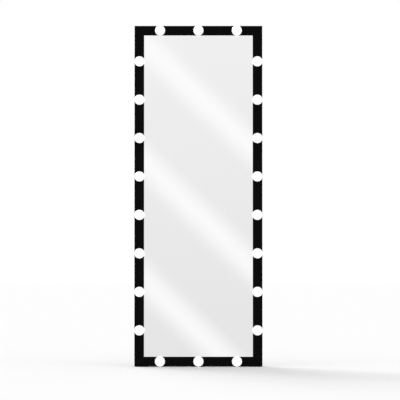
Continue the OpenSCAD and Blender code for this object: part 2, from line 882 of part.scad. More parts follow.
// Nylon washers between the ears and the legs
module stand_washers() {
    color(WHITE)
        at_legs()
            for (x = [0, 1])
                mirror([x, 0, 0])
                    translate([0, pivot_y, pivot_z])
                        difference() {
                            rod_x(pin_dia + 6, ear_gap - washer_gap - washer_t, ear_gap - washer_gap);
                            rod_x(pin_dia + 2 * pin_gap, 0, ear_gap + over);
                        }
}

// Puts the stand's own frame at its pivot, open: Z is up along the legs
module on_stand() {
    translate([0, pivot_y, pivot_z]) rotate([open_angle, 0, 0]) children();
}

// The U-shaped path filled with a round section of this radius
module u_tube(r, top) {
    run = leg_span / 2 - tube_bend;
    for (x = [-1, 1])
        translate([x * leg_span / 2, 0, tube_bend - leg_len])
            cylinder(r = r, h = leg_len - tube_bend + top);
    for (x = [0, 1])
        mirror([x, 0, 0])
            translate([run, 0, tube_bend - leg_len])
                rotate([-90, 0, 0])
                    rotate_extrude(angle = 90) translate([tube_bend, 0]) circle(r = r);
    translate([0, 0, -leg_len]) rod_x(2 * r, -run, run);
}

module stand_tube() {
    color(BLACK)
        on_stand()
            difference() {
                u_tube(tube_r, leg_above);
                u_tube(tube_r - tube_wall, leg_above + over);
                rod_x(pin_dia + 2 * pin_gap, -leg_span, leg_span);
            }
}

// Plugs in the open tops of the legs
module stand_tube_plugs() {
    r = tube_r - tube_wall - pin_gap;
    color([0.1, 0.1, 0.1])
        on_stand()
            at_legs()
                translate([0, 0, leg_above + plug_rise - plug_len]) cylinder(r = r, h = plug_len);
}

module stand_sleeves() {
    color(BLACK)
        on_stand()
            for (x = [-1, 1])
                translate([x * sleeve_span / 2, 0, -leg_len])
                    difference() {
                        rod_x(2 * foot_r, -sleeve_len / 2, sleeve_len / 2);
                        rod_x(tube_dia + 2 * pin_gap, -sleeve_len, sleeve_len);
                    }
}

// ---- Controls ----

// The screws in the housing's two tabs
module at_tabs() {
    for (z = [box_z0 - tab_h / 2, box_z1 + tab_h / 2]) translate([box_mid_x, 0, z]) children();
}

module control_housing() {
    color(BLACK)
        difference() {
            union() {
                translate([box_mid_x, 0, box_z]) plate_xz(box_w, box_h, box_d, 5, back_y);
                translate([box_mid_x, 0, box_z])
                    plate_xz(tab_w, box_h + 2 * tab_h, tab_t, 4, back_y);
            }
            translate([box_mid_x, 0, box_z])
                plate_xz(box_w - 2 * box_wall, box_h - 2 * box_wall, box_d - box_wall + over, 3,
                         back_y - over);
            at_tabs()
                rod_y(small_screw_dia + 2 * screw_gap, back_y - over, back_y + tab_t + over);
            translate([0, control_y, dimmer_z])
                rod_x(bushing_dia + 2 * screw_gap, box_x1 - box_wall - over, box_x1 + over);
            translate([box_x1 - box_wall - over, control_y - switch_half_w - pin_gap,
                       switch_z - switch_half - pin_gap])
                cube([box_wall + 2 * over, 2 * (switch_half_w + pin_gap), 2 * (switch_half + pin_gap)]);
            translate([gland_x, gland_y, box_z0 - over])
                cylinder(d = gland_barrel + 2 * pin_gap, h = box_wall + 2 * over);
        }
}

module housing_screws() {
    color(STEEL)
        at_tabs() translate([0, back_y + tab_t, 0]) pan_screw_y(small_screw_dia, 7);
}

// Board on four short posts
module driver_board() {
    color([0.05, 0.3, 0.15])
        translate([board_x0, board_y, box_z - board_len / 2]) {
            cube([board_width, driver_t, board_len]);
            for (x = [post_inset, board_width - post_inset])
                for (z = [post_inset, board_len - post_inset])
                    translate([x, 0, z]) rod_y(5, back_y - board_y, 0);
        }
}

// Transformer, two capacitors and a coil on the board
module driver_parts() {
    color([0.85, 0.75, 0.2])
        translate([board_x0, board_y + driver_t, box_z - board_len / 2]) {
            translate([6, 0, 52]) cube([24, 17, 22]);
            for (z = [36, 84]) translate([12, 0, z]) rod_y(10, 0, 16);
            translate([28, 0, 84]) rod_y(12, 0, 9);
        }
}

module terminal_block() {
    color([0.1, 0.35, 0.6])
        translate([board_x0 + 8, board_y + driver_t, box_z - board_len / 2 + 16])
            difference() {
                cube([22, 9, 10]);
                for (x = [4, 11, 18]) translate([x, 0, 5]) rod_y(3.4, 5, 10);
            }
}

// Cable from the housing through the grommet to the loom
module feed_cable() {
    bend = 5;
    mid_y = loom_y;
    loom_x = frame_w / 2 - bulb_inset - loom_dia / 2;
    color([0.12, 0.12, 0.12])
        translate([grommet_x, 0, grommet_z]) {
            rod_y(2 * feed_r, mid_y + bend, board_y - 0.5);
            translate([bend, mid_y + bend, 0])
                rotate([0, 0, 180])
                    rotate_extrude(angle = 90) translate([bend, 0]) circle(r = feed_r);
            translate([0, mid_y, 0]) rod_x(2 * feed_r, bend, loom_x - grommet_x);
        }
}

module cable_grommet() {
    color([0.1, 0.1, 0.1])
        translate([grommet_x, back_y - cover_t, grommet_z])
            rotate([-90, 0, 0])
                rotate_extrude()
                    polygon([
                        [feed_r + pin_gap, -1.5], [grommet_r + 1.5, -1.5], [grommet_r + 1.5, 0],
                        [grommet_r, 0], [grommet_r, cover_t], [grommet_r + 1.5, cover_t],
                        [grommet_r + 1.5, cover_t + 1.5], [feed_r + pin_gap, cover_t + 1.5]
                    ]);
}

// Flanged bush in the housing's bottom that a cord passes through
module cord_gland() {
    r = gland_barrel / 2;
    color([0.1, 0.1, 0.1])
        translate([gland_x, gland_y, box_z0])
            rotate_extrude()
                polygon([
                    [gland_dia / 2, -gland_out], [r - 0.5, -gland_out], [r + 1.5, -3],
                    [r + 1.5, 0], [r, 0], [r, gland_len - gland_out],
                    [gland_dia / 2, gland_len - gland_out]
                ]);
}

// Dimmer: a round case with a threaded bushing through the housing's wall
module dimmer_body() {
    inner_x = box_x1 - box_wall;
    color(STEEL)
        translate([0, control_y, dimmer_z])
            difference() {
                union() {
                    rod_x(17, inner_x - 10, inner_x);
                    rod_x(bushing_dia, inner_x - over, box_x1 + nut_t + 0.4);
                }
                rod_x(shaft_dia + 2 * pin_gap, inner_x - 7, box_x1 + nut_t + over);
            }
}

module dimmer_nut() {
    color(ZINC)
        translate([0, control_y, dimmer_z])
            difference() {
                translate([box_x1, 0, 0])
                    rotate([0, 90, 0]) cylinder(d = bushing_dia + 4.5, h = nut_t, $fn = 6);
                rod_x(bushing_dia + 2 * pin_gap, box_x1 - over, box_x1 + nut_t + over);
            }
}

module dimmer_shaft() {
    color(STEEL)
        translate([0, control_y, dimmer_z])
            rod_x(shaft_dia, box_x1 - box_wall - 6.5, knob_x0 + knob_len - 2);
}

// Grooved knob with a blind bore for the shaft
module dimmer_knob() {
    r = knob_dia / 2;
    bore_end = knob_len - 2 + pin_gap;
    color(BLACK)
        translate([knob_x0, control_y, dimmer_z])
            rotate([0, 90, 0])
                difference() {
                    rotate_extrude()
                        polygon([
                            [shaft_dia / 2 + pin_gap, 0], [r, 0], [r, knob_len - 1],
                            [r - 1, knob_len], [0, knob_len], [0, bore_end],
                            [shaft_dia / 2 + pin_gap, bore_end]
                        ]);
                    for (i = [0 : knob_grooves - 1])
                        rotate([0, 0, (i + 0.5) * 360 / knob_grooves])
                            translate([r + 0.5, 0, -over])
                                cylinder(d = 2.2, h = knob_len + 2 * over);
                    translate([-r + 2, -0.5, knob_len - 0.5]) cube([r - 5, 1, over]);
                }
}

// White line let into the knob's face
module knob_pointer() {
    r = knob_dia / 2;
    color(WHITE)
        translate([knob_x0, control_y, dimmer_z])
            rotate([0, 90, 0])
                translate([-r + 2, -0.45, knob_len - 0.5]) cube([r - 5.1, 0.9, 0.5]);
}

// Switch case with a well for the rocker and holes for its axle
module switch_body() {
    color([0.07, 0.07, 0.07])
        difference() {
            union() {
                translate([box_x1 - switch_d, control_y - switch_half_w, switch_z - switch_half])
                    cube([switch_d, 2 * switch_half_w, 2 * switch_half]);
                translate([box_x1, control_y - switch_half_w - bezel_lip,
                           switch_z - switch_half - bezel_lip])
                    cube([bezel_t, 2 * (switch_half_w + bezel_lip), 2 * (switch_half + bezel_lip)]);
            }
            translate([rocker_x - 6, control_y - well_half_w, switch_z - well_half])
                cube([20, 2 * well_half_w, 2 * well_half]);
            translate([rocker_x, control_y, switch_z])
                rod_y(axle_dia + 2 * pin_gap, -well_half_w - 1.3, well_half_w + 1.3);
        }
}

// Rocker with a hollowed face and an axle, pressed in at its top
module switch_rocker() {
    color([0.12, 0.12, 0.12])
        translate([rocker_x, control_y, switch_z])
            rotate([0, -rocker_turn / 2, 0]) {
                translate([0, rocker_w / 2, 0])
                    rotate([90, 0, 0])
                        linear_extrude(height = rocker_w)
                            polygon([
                                [rocker_rise, -rocker_half], [rocker_rise - 1.7, 0],
                                [rocker_rise, rocker_half], [0, rocker_half + 0.1], [-3, 4],
                                [-3, -4], [0, -rocker_half - 0.1]
                            ]);
                rod_y(axle_dia, -well_half_w - 1, well_half_w + 1);
            }
}

rail_left();
rail_right();
rail_top();
rail_bottom();
corner_brackets();
corner_screws();
rubber_feet();
mirror_pane();
glazing_tape();
backing_board();
pane_clips();
pane_clip_screws();
globes_left();
globes_right();
globes_top();
globes_bottom();
bulb_necks();
bulb_led_boards();
bulb_screw_shells();
bulb_insulators();
bulb_tip_contacts();
lampholders();
lampholder_rings();
lampholder_contacts();
wire_loom();
back_cover();
cover_screws();
hanger_plates();
hanger_screws();
stand_cross_bar();
stand_brackets();
stand_bolts();
stand_nuts();
stand_pins();
stand_pin_clips();
stand_washers();
stand_tube();
stand_tube_plugs();
stand_sleeves();
control_housing();
housing_screws();
driver_board();
driver_parts();
terminal_block();
feed_cable();
cable_grommet();
cord_gland();
dimmer_body();
dimmer_nut();
dimmer_shaft();
dimmer_knob();
knob_pointer();
switch_body();
switch_rocker();
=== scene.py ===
# Lighted vanity mirror on a folding stand. Metres, in the frame's own axes: the front faces -Y,
# +X is to the viewer's right, +Z is up, and the floor is at Z = 0.
import json
import math

import bmesh
import bpy
from mathutils import Matrix, Vector

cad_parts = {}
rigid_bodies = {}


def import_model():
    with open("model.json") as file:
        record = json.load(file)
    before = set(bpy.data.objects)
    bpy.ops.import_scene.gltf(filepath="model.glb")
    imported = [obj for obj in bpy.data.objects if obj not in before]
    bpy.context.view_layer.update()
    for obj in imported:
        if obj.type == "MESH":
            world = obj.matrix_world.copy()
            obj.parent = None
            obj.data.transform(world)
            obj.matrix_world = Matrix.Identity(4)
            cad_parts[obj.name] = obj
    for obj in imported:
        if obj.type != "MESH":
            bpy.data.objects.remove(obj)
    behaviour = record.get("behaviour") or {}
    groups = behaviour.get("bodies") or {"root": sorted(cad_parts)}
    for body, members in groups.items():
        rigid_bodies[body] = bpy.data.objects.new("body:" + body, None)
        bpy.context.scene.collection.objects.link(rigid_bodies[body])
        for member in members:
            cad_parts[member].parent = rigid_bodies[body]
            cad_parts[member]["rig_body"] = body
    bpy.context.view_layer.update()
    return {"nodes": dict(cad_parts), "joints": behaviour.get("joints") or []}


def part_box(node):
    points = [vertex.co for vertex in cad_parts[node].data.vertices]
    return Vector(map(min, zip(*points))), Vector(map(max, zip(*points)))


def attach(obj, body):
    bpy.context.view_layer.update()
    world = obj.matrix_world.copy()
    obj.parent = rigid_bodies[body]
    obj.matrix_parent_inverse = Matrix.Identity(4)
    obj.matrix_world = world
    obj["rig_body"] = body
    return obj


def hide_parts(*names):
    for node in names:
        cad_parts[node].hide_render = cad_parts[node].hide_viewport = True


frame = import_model()

MM = 0.001
TURN = 2 * math.pi
WELD = 1e-6                  # corners closer than this are one corner

# Turns that stand a shape made round +Z on another axis, with its +Y kept upright
TO_FRONT = Matrix.Rotation(TURN / 4, 4, "X")
TO_BACK = Matrix.Rotation(TURN / 2, 4, "Z") @ TO_FRONT
TO_RIGHT = Matrix(((0, 0, 1, 0), (1, 0, 0, 0), (0, 1, 0, 0), (0, 0, 0, 1)))


# ---- Places from the frame ----

def solids(node):
    """The box of each separate solid of a CAD node, as its low and its high corner"""
    shape = bmesh.new()
    shape.from_mesh(frame["nodes"][node].data)
    bmesh.ops.remove_doubles(shape, verts=shape.verts, dist=WELD)
    boxes = []
    seen = set()
    for first in shape.verts:
        if first in seen:
            continue
        seen.add(first)
        island = [first]
        for corner in island:
            for edge in corner.link_edges:
                other = edge.other_vert(corner)
                if other not in seen:
                    seen.add(other)
                    island.append(other)
        spans = list(zip(*(corner.co for corner in island)))
        boxes.append((Vector([min(span) for span in spans]), Vector([max(span) for span in spans])))
    shape.free()
    return sorted(boxes, key=lambda box: (round(box[0].x, 5), round(box[0].z, 5)))


def middles(node):
    """The middle of each separate solid of a CAD node"""
    return [(low + high) / 2 for low, high in solids(node)]


rail_low, rail_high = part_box("rail_left")
LEFT = rail_low.x
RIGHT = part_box("rail_right")[1].x
FRONT = rail_low.y
BACK = rail_high.y
FOOT = rail_low.z
TOP = rail_high.z
MID = (FOOT + TOP) / 2
FACE_W = rail_high.x - rail_low.x

SHEET = 1.5 * MM             # steel sheet of the rails
LIP = 7.5 * MM               # lip in front of the mirror's edge
INNER_WALL = FACE_W - LIP - SHEET    # how far in the inner wall stands
INNER_WALL_D = 27 * MM       # and how deep it is
FLANGE = 16 * MM             # how far the rear flange reaches in
COVER_LOW, COVER_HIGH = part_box("back_cover")
FLANGE_Y = COVER_LOW.y - SHEET
PIN_GAP = 0.05 * MM          # all round a pin, a shaft, a plug or a sleeve

# Radius of each hole that a lampholder, a screw or a cable passes through
LAMP_HOLE = 10.2 * MM
COVER_HOLE = 1.95 * MM       # for the hangers' screws too
CLIP_HOLE = 1.7 * MM         # for the housing's screws too
CORNER_HOLE = 2.2 * MM
BOLT_HOLE = 2.7 * MM
GROMMET_HOLE = 4.2 * MM

# A rail's own axes: X along it, Y the depth, Z in from the frame's edge
RAILS = {
    "rail_bottom": Matrix.Translation((0, 0, FOOT)),
    "rail_top": Matrix.Translation((0, 0, TOP)) @ Matrix.Scale(-1, 4, (0, 0, 1)),
    "rail_left": Matrix.Translation((LEFT, 0, MID)) @ Matrix.Rotation(TURN / 4, 4, "Y"),
    "rail_right": (Matrix.Translation((RIGHT, 0, MID)) @ Matrix.Scale(-1, 4, (1, 0, 0))
                   @ Matrix.Rotation(TURN / 4, 4, "Y")),
}
RAIL_LENGTHS = {
    "rail_bottom": RIGHT - LEFT, "rail_top": RIGHT - LEFT,
    "rail_left": TOP - FOOT, "rail_right": TOP - FOOT,
}

# The stand turns about its hinge, and leans back by the hinge's whole range
fold = next(joint for joint in frame["joints"] if joint["name"] == "stand_fold")
PIVOT = Vector(fold["pos_m"])
LEAN = math.radians(-fold["range_deg"][0])
STAND = Matrix.Translation(PIVOT) @ Matrix.Rotation(LEAN, 4, "X")


# ---- Shapes ----

def outline(points):
    """A flat face in X and Y through these points"""
    shape = bmesh.new()
    shape.faces.new([shape.verts.new((x, y, 0)) for x, y in points])
    return shape


def thicken(shape, height):
    """Gives a flat face its thickness along +Z"""
    grown = bmesh.ops.extrude_face_region(shape, geom=shape.faces[:])["geom"]
    corners = [part for part in grown if isinstance(part, bmesh.types.BMVert)]
    bmesh.ops.translate(shape, verts=corners, vec=(0, 0, height))
    bmesh.ops.recalc_face_normals(shape, faces=shape.faces)
    return shape


def ease(shape, edges, radius, segments=2):
    """Rounds edges"""
    bmesh.ops.bevel(shape, geom=edges, offset=radius, offset_type="OFFSET", segments=segments,
                    profile=0.5, affect="EDGES", material=-1)


def round_corners(shape, corners, radius, segments=6):
    """Rounds the corners of a flat face"""
    bmesh.ops.bevel(shape, geom=corners, offset=radius, offset_type="OFFSET", segments=segments,
                    profile=0.5, affect="VERTICES", material=-1)
    return shape


def level_edges(shape, height):
    """The edges that lie at one height"""
    return [e for e in shape.edges if all(abs(v.co.z - height) < WELD for v in e.verts)]


def plate(width, height, thickness, corner, rim=0.0):
    """A plate in X and Y with round corners, from Z = 0 up, and both its rims eased"""
    x, y = width / 2, height / 2
    shape = outline([(-x, -y), (x, -y), (x, y), (-x, y)])
    round_corners(shape, shape.verts[:], corner)
    thicken(shape, thickness)
    if rim:
        ease(shape, level_edges(shape, 0) + level_edges(shape, thickness), rim)
    return shape


def block(low, high, edge=0.0):
    """A block between two corners with its edges eased"""
    shape = bmesh.new()
    bmesh.ops.create_cube(shape, size=1)
    bmesh.ops.scale(shape, verts=shape.verts, vec=high - low)
    bmesh.ops.translate(shape, verts=shape.verts, vec=(low + high) / 2)
    if edge:
        ease(shape, shape.edges[:], edge)
    return shape


def rod(radius, length, segments=32):
    """A straight rod about Z with its middle at the origin"""
    shape = bmesh.new()
    bmesh.ops.create_cone(shape, cap_ends=True, segments=segments, radius1=radius,
                          radius2=radius, depth=length)
    return shape


def arc(radius, start, stop, steps, centre=(0, 0)):
    """Points along an arc from one angle to another, in degrees"""
    angles = [math.radians(start + (stop - start) * i / steps) for i in range(steps + 1)]
    return [(centre[0] + radius * math.cos(a), centre[1] + radius * math.sin(a)) for a in angles]


def lathe(profile, steps=48):
    """Spins a profile of (radius, height) points round Z; one that starts off the axis is a ring"""
    shape = bmesh.new()
    points = [shape.verts.new((radius, 0, height)) for radius, height in profile]
    pairs = list(zip(points, points[1:]))
    if profile[0][0] > WELD:
        pairs.append((points[-1], points[0]))
    edges = [shape.edges.new(pair) for pair in pairs]
    bmesh.ops.spin(shape, geom=points + edges, cent=(0, 0, 0), axis=(0, 0, 1), angle=TURN,
                   steps=steps, use_merge=True, use_duplicate=False)
    bmesh.ops.remove_doubles(shape, verts=shape.verts, dist=WELD)
    bmesh.ops.recalc_face_normals(shape, faces=shape.faces)
    return shape


def place(shape, matrix):
    """Moves a shape"""
    bmesh.ops.transform(shape, matrix=matrix, verts=shape.verts)
    bmesh.ops.recalc_face_normals(shape, faces=shape.faces)
    return shape


def repeat(shape, places):
    """One shape that holds a copy of this one at each place"""
    pattern = bpy.data.meshes.new("pattern")
    shape.to_mesh(pattern)
    shape.free()
    row = bmesh.new()
    for matrix in places:
        first = len(row.verts)
        row.from_mesh(pattern)
        bmesh.ops.transform(row, matrix=matrix, verts=row.verts[first:])
    bpy.data.meshes.remove(pattern)
    bmesh.ops.recalc_face_normals(row, faces=row.faces)
    return row


def together(shapes):
    """One shape that holds several, as they are"""
    whole = bmesh.new()
    for shape in shapes:
        part = bpy.data.meshes.new("part")
        shape.to_mesh(part)
        shape.free()
        whole.from_mesh(part)
        bpy.data.meshes.remove(part)
    return whole


def combine(shape, other, operation="DIFFERENCE"):
    """Cuts another shape out of a shape, or welds it on with UNION"""
    holders = []
    for name, part in (("blank", shape), ("tool", other)):
        holder = bpy.data.objects.new(name, bpy.data.meshes.new(name))
        part.to_mesh(holder.data)
        part.free()
        bpy.context.scene.collection.objects.link(holder)
        holders.append(holder)
    cut = holders[0].modifiers.new("cut", "BOOLEAN")
    cut.operation = operation
    cut.solver = "EXACT"
    cut.object = holders[1]
    made = bmesh.new()
    made.from_object(holders[0], bpy.context.evaluated_depsgraph_get())
    for holder in holders:
        bpy.data.meshes.remove(holder.data)      # its holder goes with it
    return made


def drill(shape, holes):
    """Drills round holes, each a (middle, turn, radius, length)"""
    bits = [place(rod(radius, length), Matrix.Translation(middle) @ turn)
            for middle, turn, radius, length in holes]
    return combine(shape, together(bits)) if bits else shape


def make_piece(name, shape, finish, *nodes, crease=35):
    """A finished shape becomes a piece in its finish, on the body of the CAD nodes it stands for,
    which are hidden
    """
    bmesh.ops.remove_doubles(shape, verts=shape.verts, dist=WELD)
    bmesh.ops.recalc_face_normals(shape, faces=shape.faces)
    mesh = bpy.data.meshes.new(name)
    shape.to_mesh(mesh)
    shape.free()
    mesh.shade_smooth()
    mesh.set_sharp_from_angle(angle=math.radians(crease))
    mesh.materials.append(finish)
    piece = bpy.data.objects.new(name, mesh)
    bpy.context.scene.collection.objects.link(piece)
    flats = piece.modifiers.new("flat faces stay flat", "WEIGHTED_NORMAL")
    flats.keep_sharp = True
    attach(piece, frame["nodes"][nodes[0]]["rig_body"])
    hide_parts(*nodes)


# ---- Finishes ----

def linear(code):
    """A colour given as sRGB hex, turned to linear light"""
    parts = [int(code[i:i + 2], 16) / 255 for i in (1, 3, 5)]
    return [p / 12.92 if p <= 0.04045 else ((p + 0.055) / 1.055) ** 2.4 for p in parts] + [1.0]


def add_node(tree, kind, sockets=None, **settings):
    """Adds a node; a socket is given a plain value, or another node's output to link to"""
    node = tree.nodes.new(kind)
    for name, value in settings.items():
        setattr(node, name, value)
    for name, value in (sockets or {}).items():
        if isinstance(value, bpy.types.NodeSocket):
            tree.links.new(value, node.inputs[name])
        else:
            node.inputs[name].default_value = value
    return node


def start_finish(name, values):
    """A new material with these plain values on its shader, and where a pattern starts from"""
    finish = bpy.data.materials.new(name)
    finish.use_nodes = True
    tree = finish.node_tree
    shader = tree.nodes["Principled BSDF"]
    for socket, value in values.items():
        shader.inputs[socket].default_value = value
    coords = add_node(tree, "ShaderNodeTexCoord").outputs["Object"]
    return finish, tree, shader, coords


def lay_patterns(tree, shader, tone=None, gloss=None, relief=None):
    """Lets patterns set a shader's colour, between two tones, its roughness, between two values,
    and its relief, to a depth. Most of a noise lies between 0.3 and 0.7"""
    if tone:
        pattern, dark, light = tone
        mixed = add_node(tree, "ShaderNodeMix", {
            0: pattern, 6: linear(dark), 7: linear(light)}, data_type="RGBA")
        tree.links.new(mixed.outputs[2], shader.inputs["Base Color"])
    if gloss:
        pattern, low, high = gloss
        spread = add_node(tree, "ShaderNodeMapRange", {
            "Value": pattern, "From Min": 0.3, "From Max": 0.7, "To Min": low, "To Max": high})
        tree.links.new(spread.outputs["Result"], shader.inputs["Roughness"])
    if relief:
        pattern, depth = relief
        bump = add_node(tree, "ShaderNodeBump", {"Height": pattern, "Distance": depth})
        tree.links.new(bump.outputs["Normal"], shader.inputs["Normal"])


def powder_coat(name, dark, light, specular, gloss, depth):
    """Black polyester powder, sprayed on the steel and baked: it melts to an orange peel that
    shows where light grazes it, and its tone and gloss wander a little from place to place.
    The real peel is about 1.5 mm across, and is drawn at 4 mm so that it shows"""
    finish, tree, shader, coords = start_finish(name, {"IOR": 1.5, "Specular IOR Level": specular})
    cloud = add_node(tree, "ShaderNodeTexNoise", {
        "Vector": coords, "Scale": 1 / (40 * MM), "Detail": 3.0}).outputs["Fac"]
    peel = add_node(tree, "ShaderNodeTexNoise", {
        "Vector": coords, "Scale": 1 / (4 * MM), "Detail": 2.0}).outputs["Fac"]
    lay_patterns(tree, shader, (cloud, dark, light), (cloud, *gloss), (peel, depth))
    return finish


def silvered_glass():
    """Float glass silvered on its back: a clean neutral mirror, with the faint upright haze that
    a wiping cloth leaves, in strokes about 70 mm wide"""
    finish, tree, shader, coords = start_finish("silvered_glass", {
        "Base Color": linear("#f8f8f8"), "Metallic": 1.0})
    strokes = add_node(tree, "ShaderNodeMapping", {"Vector": coords, "Scale": (1, 1, 0.35)})
    haze = add_node(tree, "ShaderNodeTexNoise", {
        "Vector": strokes.outputs["Vector"], "Scale": 1 / (70 * MM), "Detail": 4.0})
    lay_patterns(tree, shader, gloss=(haze.outputs["Fac"], 0.008, 0.024))
    return finish


def opal_polycarbonate(front, back):
    """Blown opal polycarbonate, lit from inside: even white over the front, and from the widest
    part on it dims and warms towards the neck, where the lamp's board casts no light"""
    finish, tree, shader, coords = start_finish("opal_polycarbonate", {
        "Base Color": linear("#f6f5f1"), "IOR": 1.58, "Specular IOR Level": 0.3,
        "Emission Strength": 0.42})
    parts = add_node(tree, "ShaderNodeSeparateXYZ", {"Vector": coords})
    near_neck = add_node(tree, "ShaderNodeMapRange", {
        "Value": parts.outputs["Y"], "From Min": front, "From Max": back},
        interpolation_type="SMOOTHSTEP")
    glow = add_node(tree, "ShaderNodeMix", {
        0: near_neck.outputs["Result"], 6: linear("#fbfaf8"), 7: linear("#a9a294")},
        data_type="RGBA")
    tree.links.new(glow.outputs[2], shader.inputs["Emission Color"])
    skin = add_node(tree, "ShaderNodeTexNoise", {
        "Vector": coords, "Scale": 1 / (9 * MM), "Detail": 2.0})
    lay_patterns(tree, shader, gloss=(skin.outputs["Fac"], 0.26, 0.36))
    return finish


def moulded(name, dark, light, roughness, specular, grit, depth):
    """Moulded or extruded plastic or rubber: the tool's eroded surface leaves a fine grit, and
    the tone drifts over a dozen grits, as the melt flowed"""
    finish, tree, shader, coords = start_finish(name, {"IOR": 1.5, "Specular IOR Level": specular})
    texture = add_node(tree, "ShaderNodeTexNoise", {
        "Vector": coords, "Scale": 1 / grit, "Detail": 3.0}).outputs["Fac"]
    flow = add_node(tree, "ShaderNodeTexNoise", {
        "Vector": coords, "Scale": 1 / (12 * grit), "Detail": 2.0}).outputs["Fac"]
    lay_patterns(tree, shader, (flow, dark, light),
                 (texture, roughness * 0.85, roughness * 1.15), (texture, depth))
    return finish


def plated_steel(name, dark, light, roughness, spangle):
    """Plated metal: the bath leaves a cloudy bloom, in patches as wide as the spangle, over the
    fine upright lines of the drawn metal"""
    finish, tree, shader, coords = start_finish(name, {"Metallic": 1.0})
    bloom = add_node(tree, "ShaderNodeTexNoise", {
        "Vector": coords, "Scale": 1 / spangle, "Detail": 4.0}).outputs["Fac"]
    lines = add_node(tree, "ShaderNodeMapping", {"Vector": coords, "Scale": (1, 1, 0.06)})
    drawn = add_node(tree, "ShaderNodeTexNoise", {
        "Vector": lines.outputs["Vector"], "Scale": 1 / (0.8 * MM), "Detail": 2.0}).outputs["Fac"]
    lay_patterns(tree, shader, (bloom, dark, light),
                 (bloom, roughness * 0.8, roughness * 1.25), (drawn, 0.006 * MM))
    return finish


def hardboard():
    """Wet-pressed wood fibre: brown, flecked with darker fibres that lie along the sheet"""
    finish, tree, shader, coords = start_finish("hardboard", {
        "Roughness": 0.75, "Specular IOR Level": 0.25})
    along = add_node(tree, "ShaderNodeMapping", {"Vector": coords, "Scale": (1, 1, 0.3)})
    fibres = add_node(tree, "ShaderNodeTexNoise", {
        "Vector": along.outputs["Vector"], "Scale": 1 / (2.5 * MM), "Detail": 5.0}).outputs["Fac"]
    lay_patterns(tree, shader, tone=(fibres, "#5d4227", "#8b6a44"), relief=(fibres, 0.08 * MM))
    return finish


# The frame is matt; the back, the stand and its brackets have more gloss
matt_black = powder_coat("matt_powder_coat", "#030303", "#080808", 0.045, (0.46, 0.58), 0.015 * MM)
satin_black = powder_coat("satin_powder_coat", "#141415", "#1d1d1e", 0.35, (0.36, 0.5), 0.08 * MM)
mirror = silvered_glass()
globe_low, globe_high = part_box("globes_left")
WIDEST = 0.6                 # how far back a globe starts to dim, as a share of its depth
opal = opal_polycarbonate(globe_low.y + WIDEST * (globe_high.y - globe_low.y), globe_high.y)

# Necks and lampholders, warm white; housing and knob, with a soft sheen over a coarse grit; ring
# nuts and small mouldings, duller; the rocker, polished by its tool; feet and sleeves, dull rubber
white_pbt = moulded("moulded_white_pbt", "#e6e4de", "#f0eee9", 0.38, 0.5, 0.5 * MM, 0.01 * MM)
black_abs = moulded("moulded_black_abs", "#161617", "#1f1f20", 0.42, 0.4, 0.8 * MM, 0.04 * MM)
black_pa = moulded("moulded_black_nylon", "#111112", "#19191a", 0.48, 0.4, 0.6 * MM, 0.03 * MM)
glossy_pa = moulded("polished_black_nylon", "#0e0e0e", "#131313", 0.2, 0.5, 1.2 * MM, 0.008 * MM)
rubber = moulded("moulded_epdm_rubber", "#0f0f0f", "#171717", 0.72, 0.25, 0.8 * MM, 0.05 * MM)

# Screws and hangers, a cool grey; pins and clips, warmer and brighter
zinc = plated_steel("zinc_plated_steel", "#9ea2a6", "#c4c8ca", 0.34, 6 * MM)
nickel = plated_steel("nickel_plated_steel", "#b3b0a8", "#cfccc4", 0.22, 5 * MM)

# What the CAD nodes are finished in, by their slot
SLOT_FINISHES = {
    "black_powder_coat": satin_black,
    "mirror_glass": mirror,
    "opal_globe": opal,
    "white_plastic": white_pbt,
    "zinc_plate": zinc,
    "nickel_plate": nickel,
    "black_plastic": black_pa,
    "black_rubber": rubber,
    "hardboard": hardboard(),
    "contact_brass": plated_steel("rolled_brass", "#b08d43", "#cfae62", 0.28, 4 * MM),
    "cable_sheath": moulded("extruded_pvc", "#141414", "#1c1c1c", 0.4, 0.4, 0.8 * MM, 0.01 * MM),
    "foam_tape": moulded("pe_foam", "#1b1b1b", "#262626", 0.9, 0.2, 0.5 * MM, 0.08 * MM),
    "aluminium_board": moulded("solder_mask", "#d8d8d2", "#ecece6", 0.3, 0.5, 1.2 * MM, 0.01 * MM),
    "nylon": moulded("turned_nylon", "#d9d6cb", "#e8e5db", 0.45, 0.4, 0.5 * MM, 0.01 * MM),
    "circuit_board": moulded("green_fr4", "#0b3d22", "#12512e", 0.3, 0.5, 0.9 * MM, 0.02 * MM),
    "coil_tape": moulded("polyester_tape", "#b78f1e", "#d8b23a", 0.3, 0.5, 1.5 * MM, 0.02 * MM),
    "terminal_blue": moulded("moulded_blue_nylon", "#1c4f86", "#2561a0", 0.4, 0.4, 0.5 * MM,
                             0.02 * MM),
    "white_mark": moulded("foil_mark", "#e9e9e6", "#f4f4f1", 0.4, 0.4, 0.4 * MM, 0.01 * MM),
}
for cad_node in frame["nodes"].values():
    cad_node.data.materials[0] = SLOT_FINISHES[cad_node.data.materials[0].name]


# ---- Frame ----

def rail_section():
    """The rolled section as (distance in from the frame's edge, depth) points"""
    wall_end = FRONT + SHEET + INNER_WALL_D
    return [
        (0, FRONT), (FACE_W, FRONT), (FACE_W, FRONT + SHEET),
        (INNER_WALL + SHEET, FRONT + SHEET), (INNER_WALL + SHEET, wall_end),
        (INNER_WALL, wall_end), (INNER_WALL, FRONT + SHEET),
        (SHEET, FRONT + SHEET), (SHEET, FLANGE_Y), (SHEET + FLANGE, FLANGE_Y),
        (SHEET + FLANGE, FLANGE_Y + SHEET), (SHEET, FLANGE_Y + SHEET), (SHEET, BACK), (0, BACK),
    ]


# How far in from a rail's edge its rows of solids lie, and how far off a row a solid may be
BULB_ROW = 24 * MM
COVER_SCREW_ROW = 7 * MM
CORNER_SCREW_ROW = 3 * MM
ROW_REACH = 4 * MM


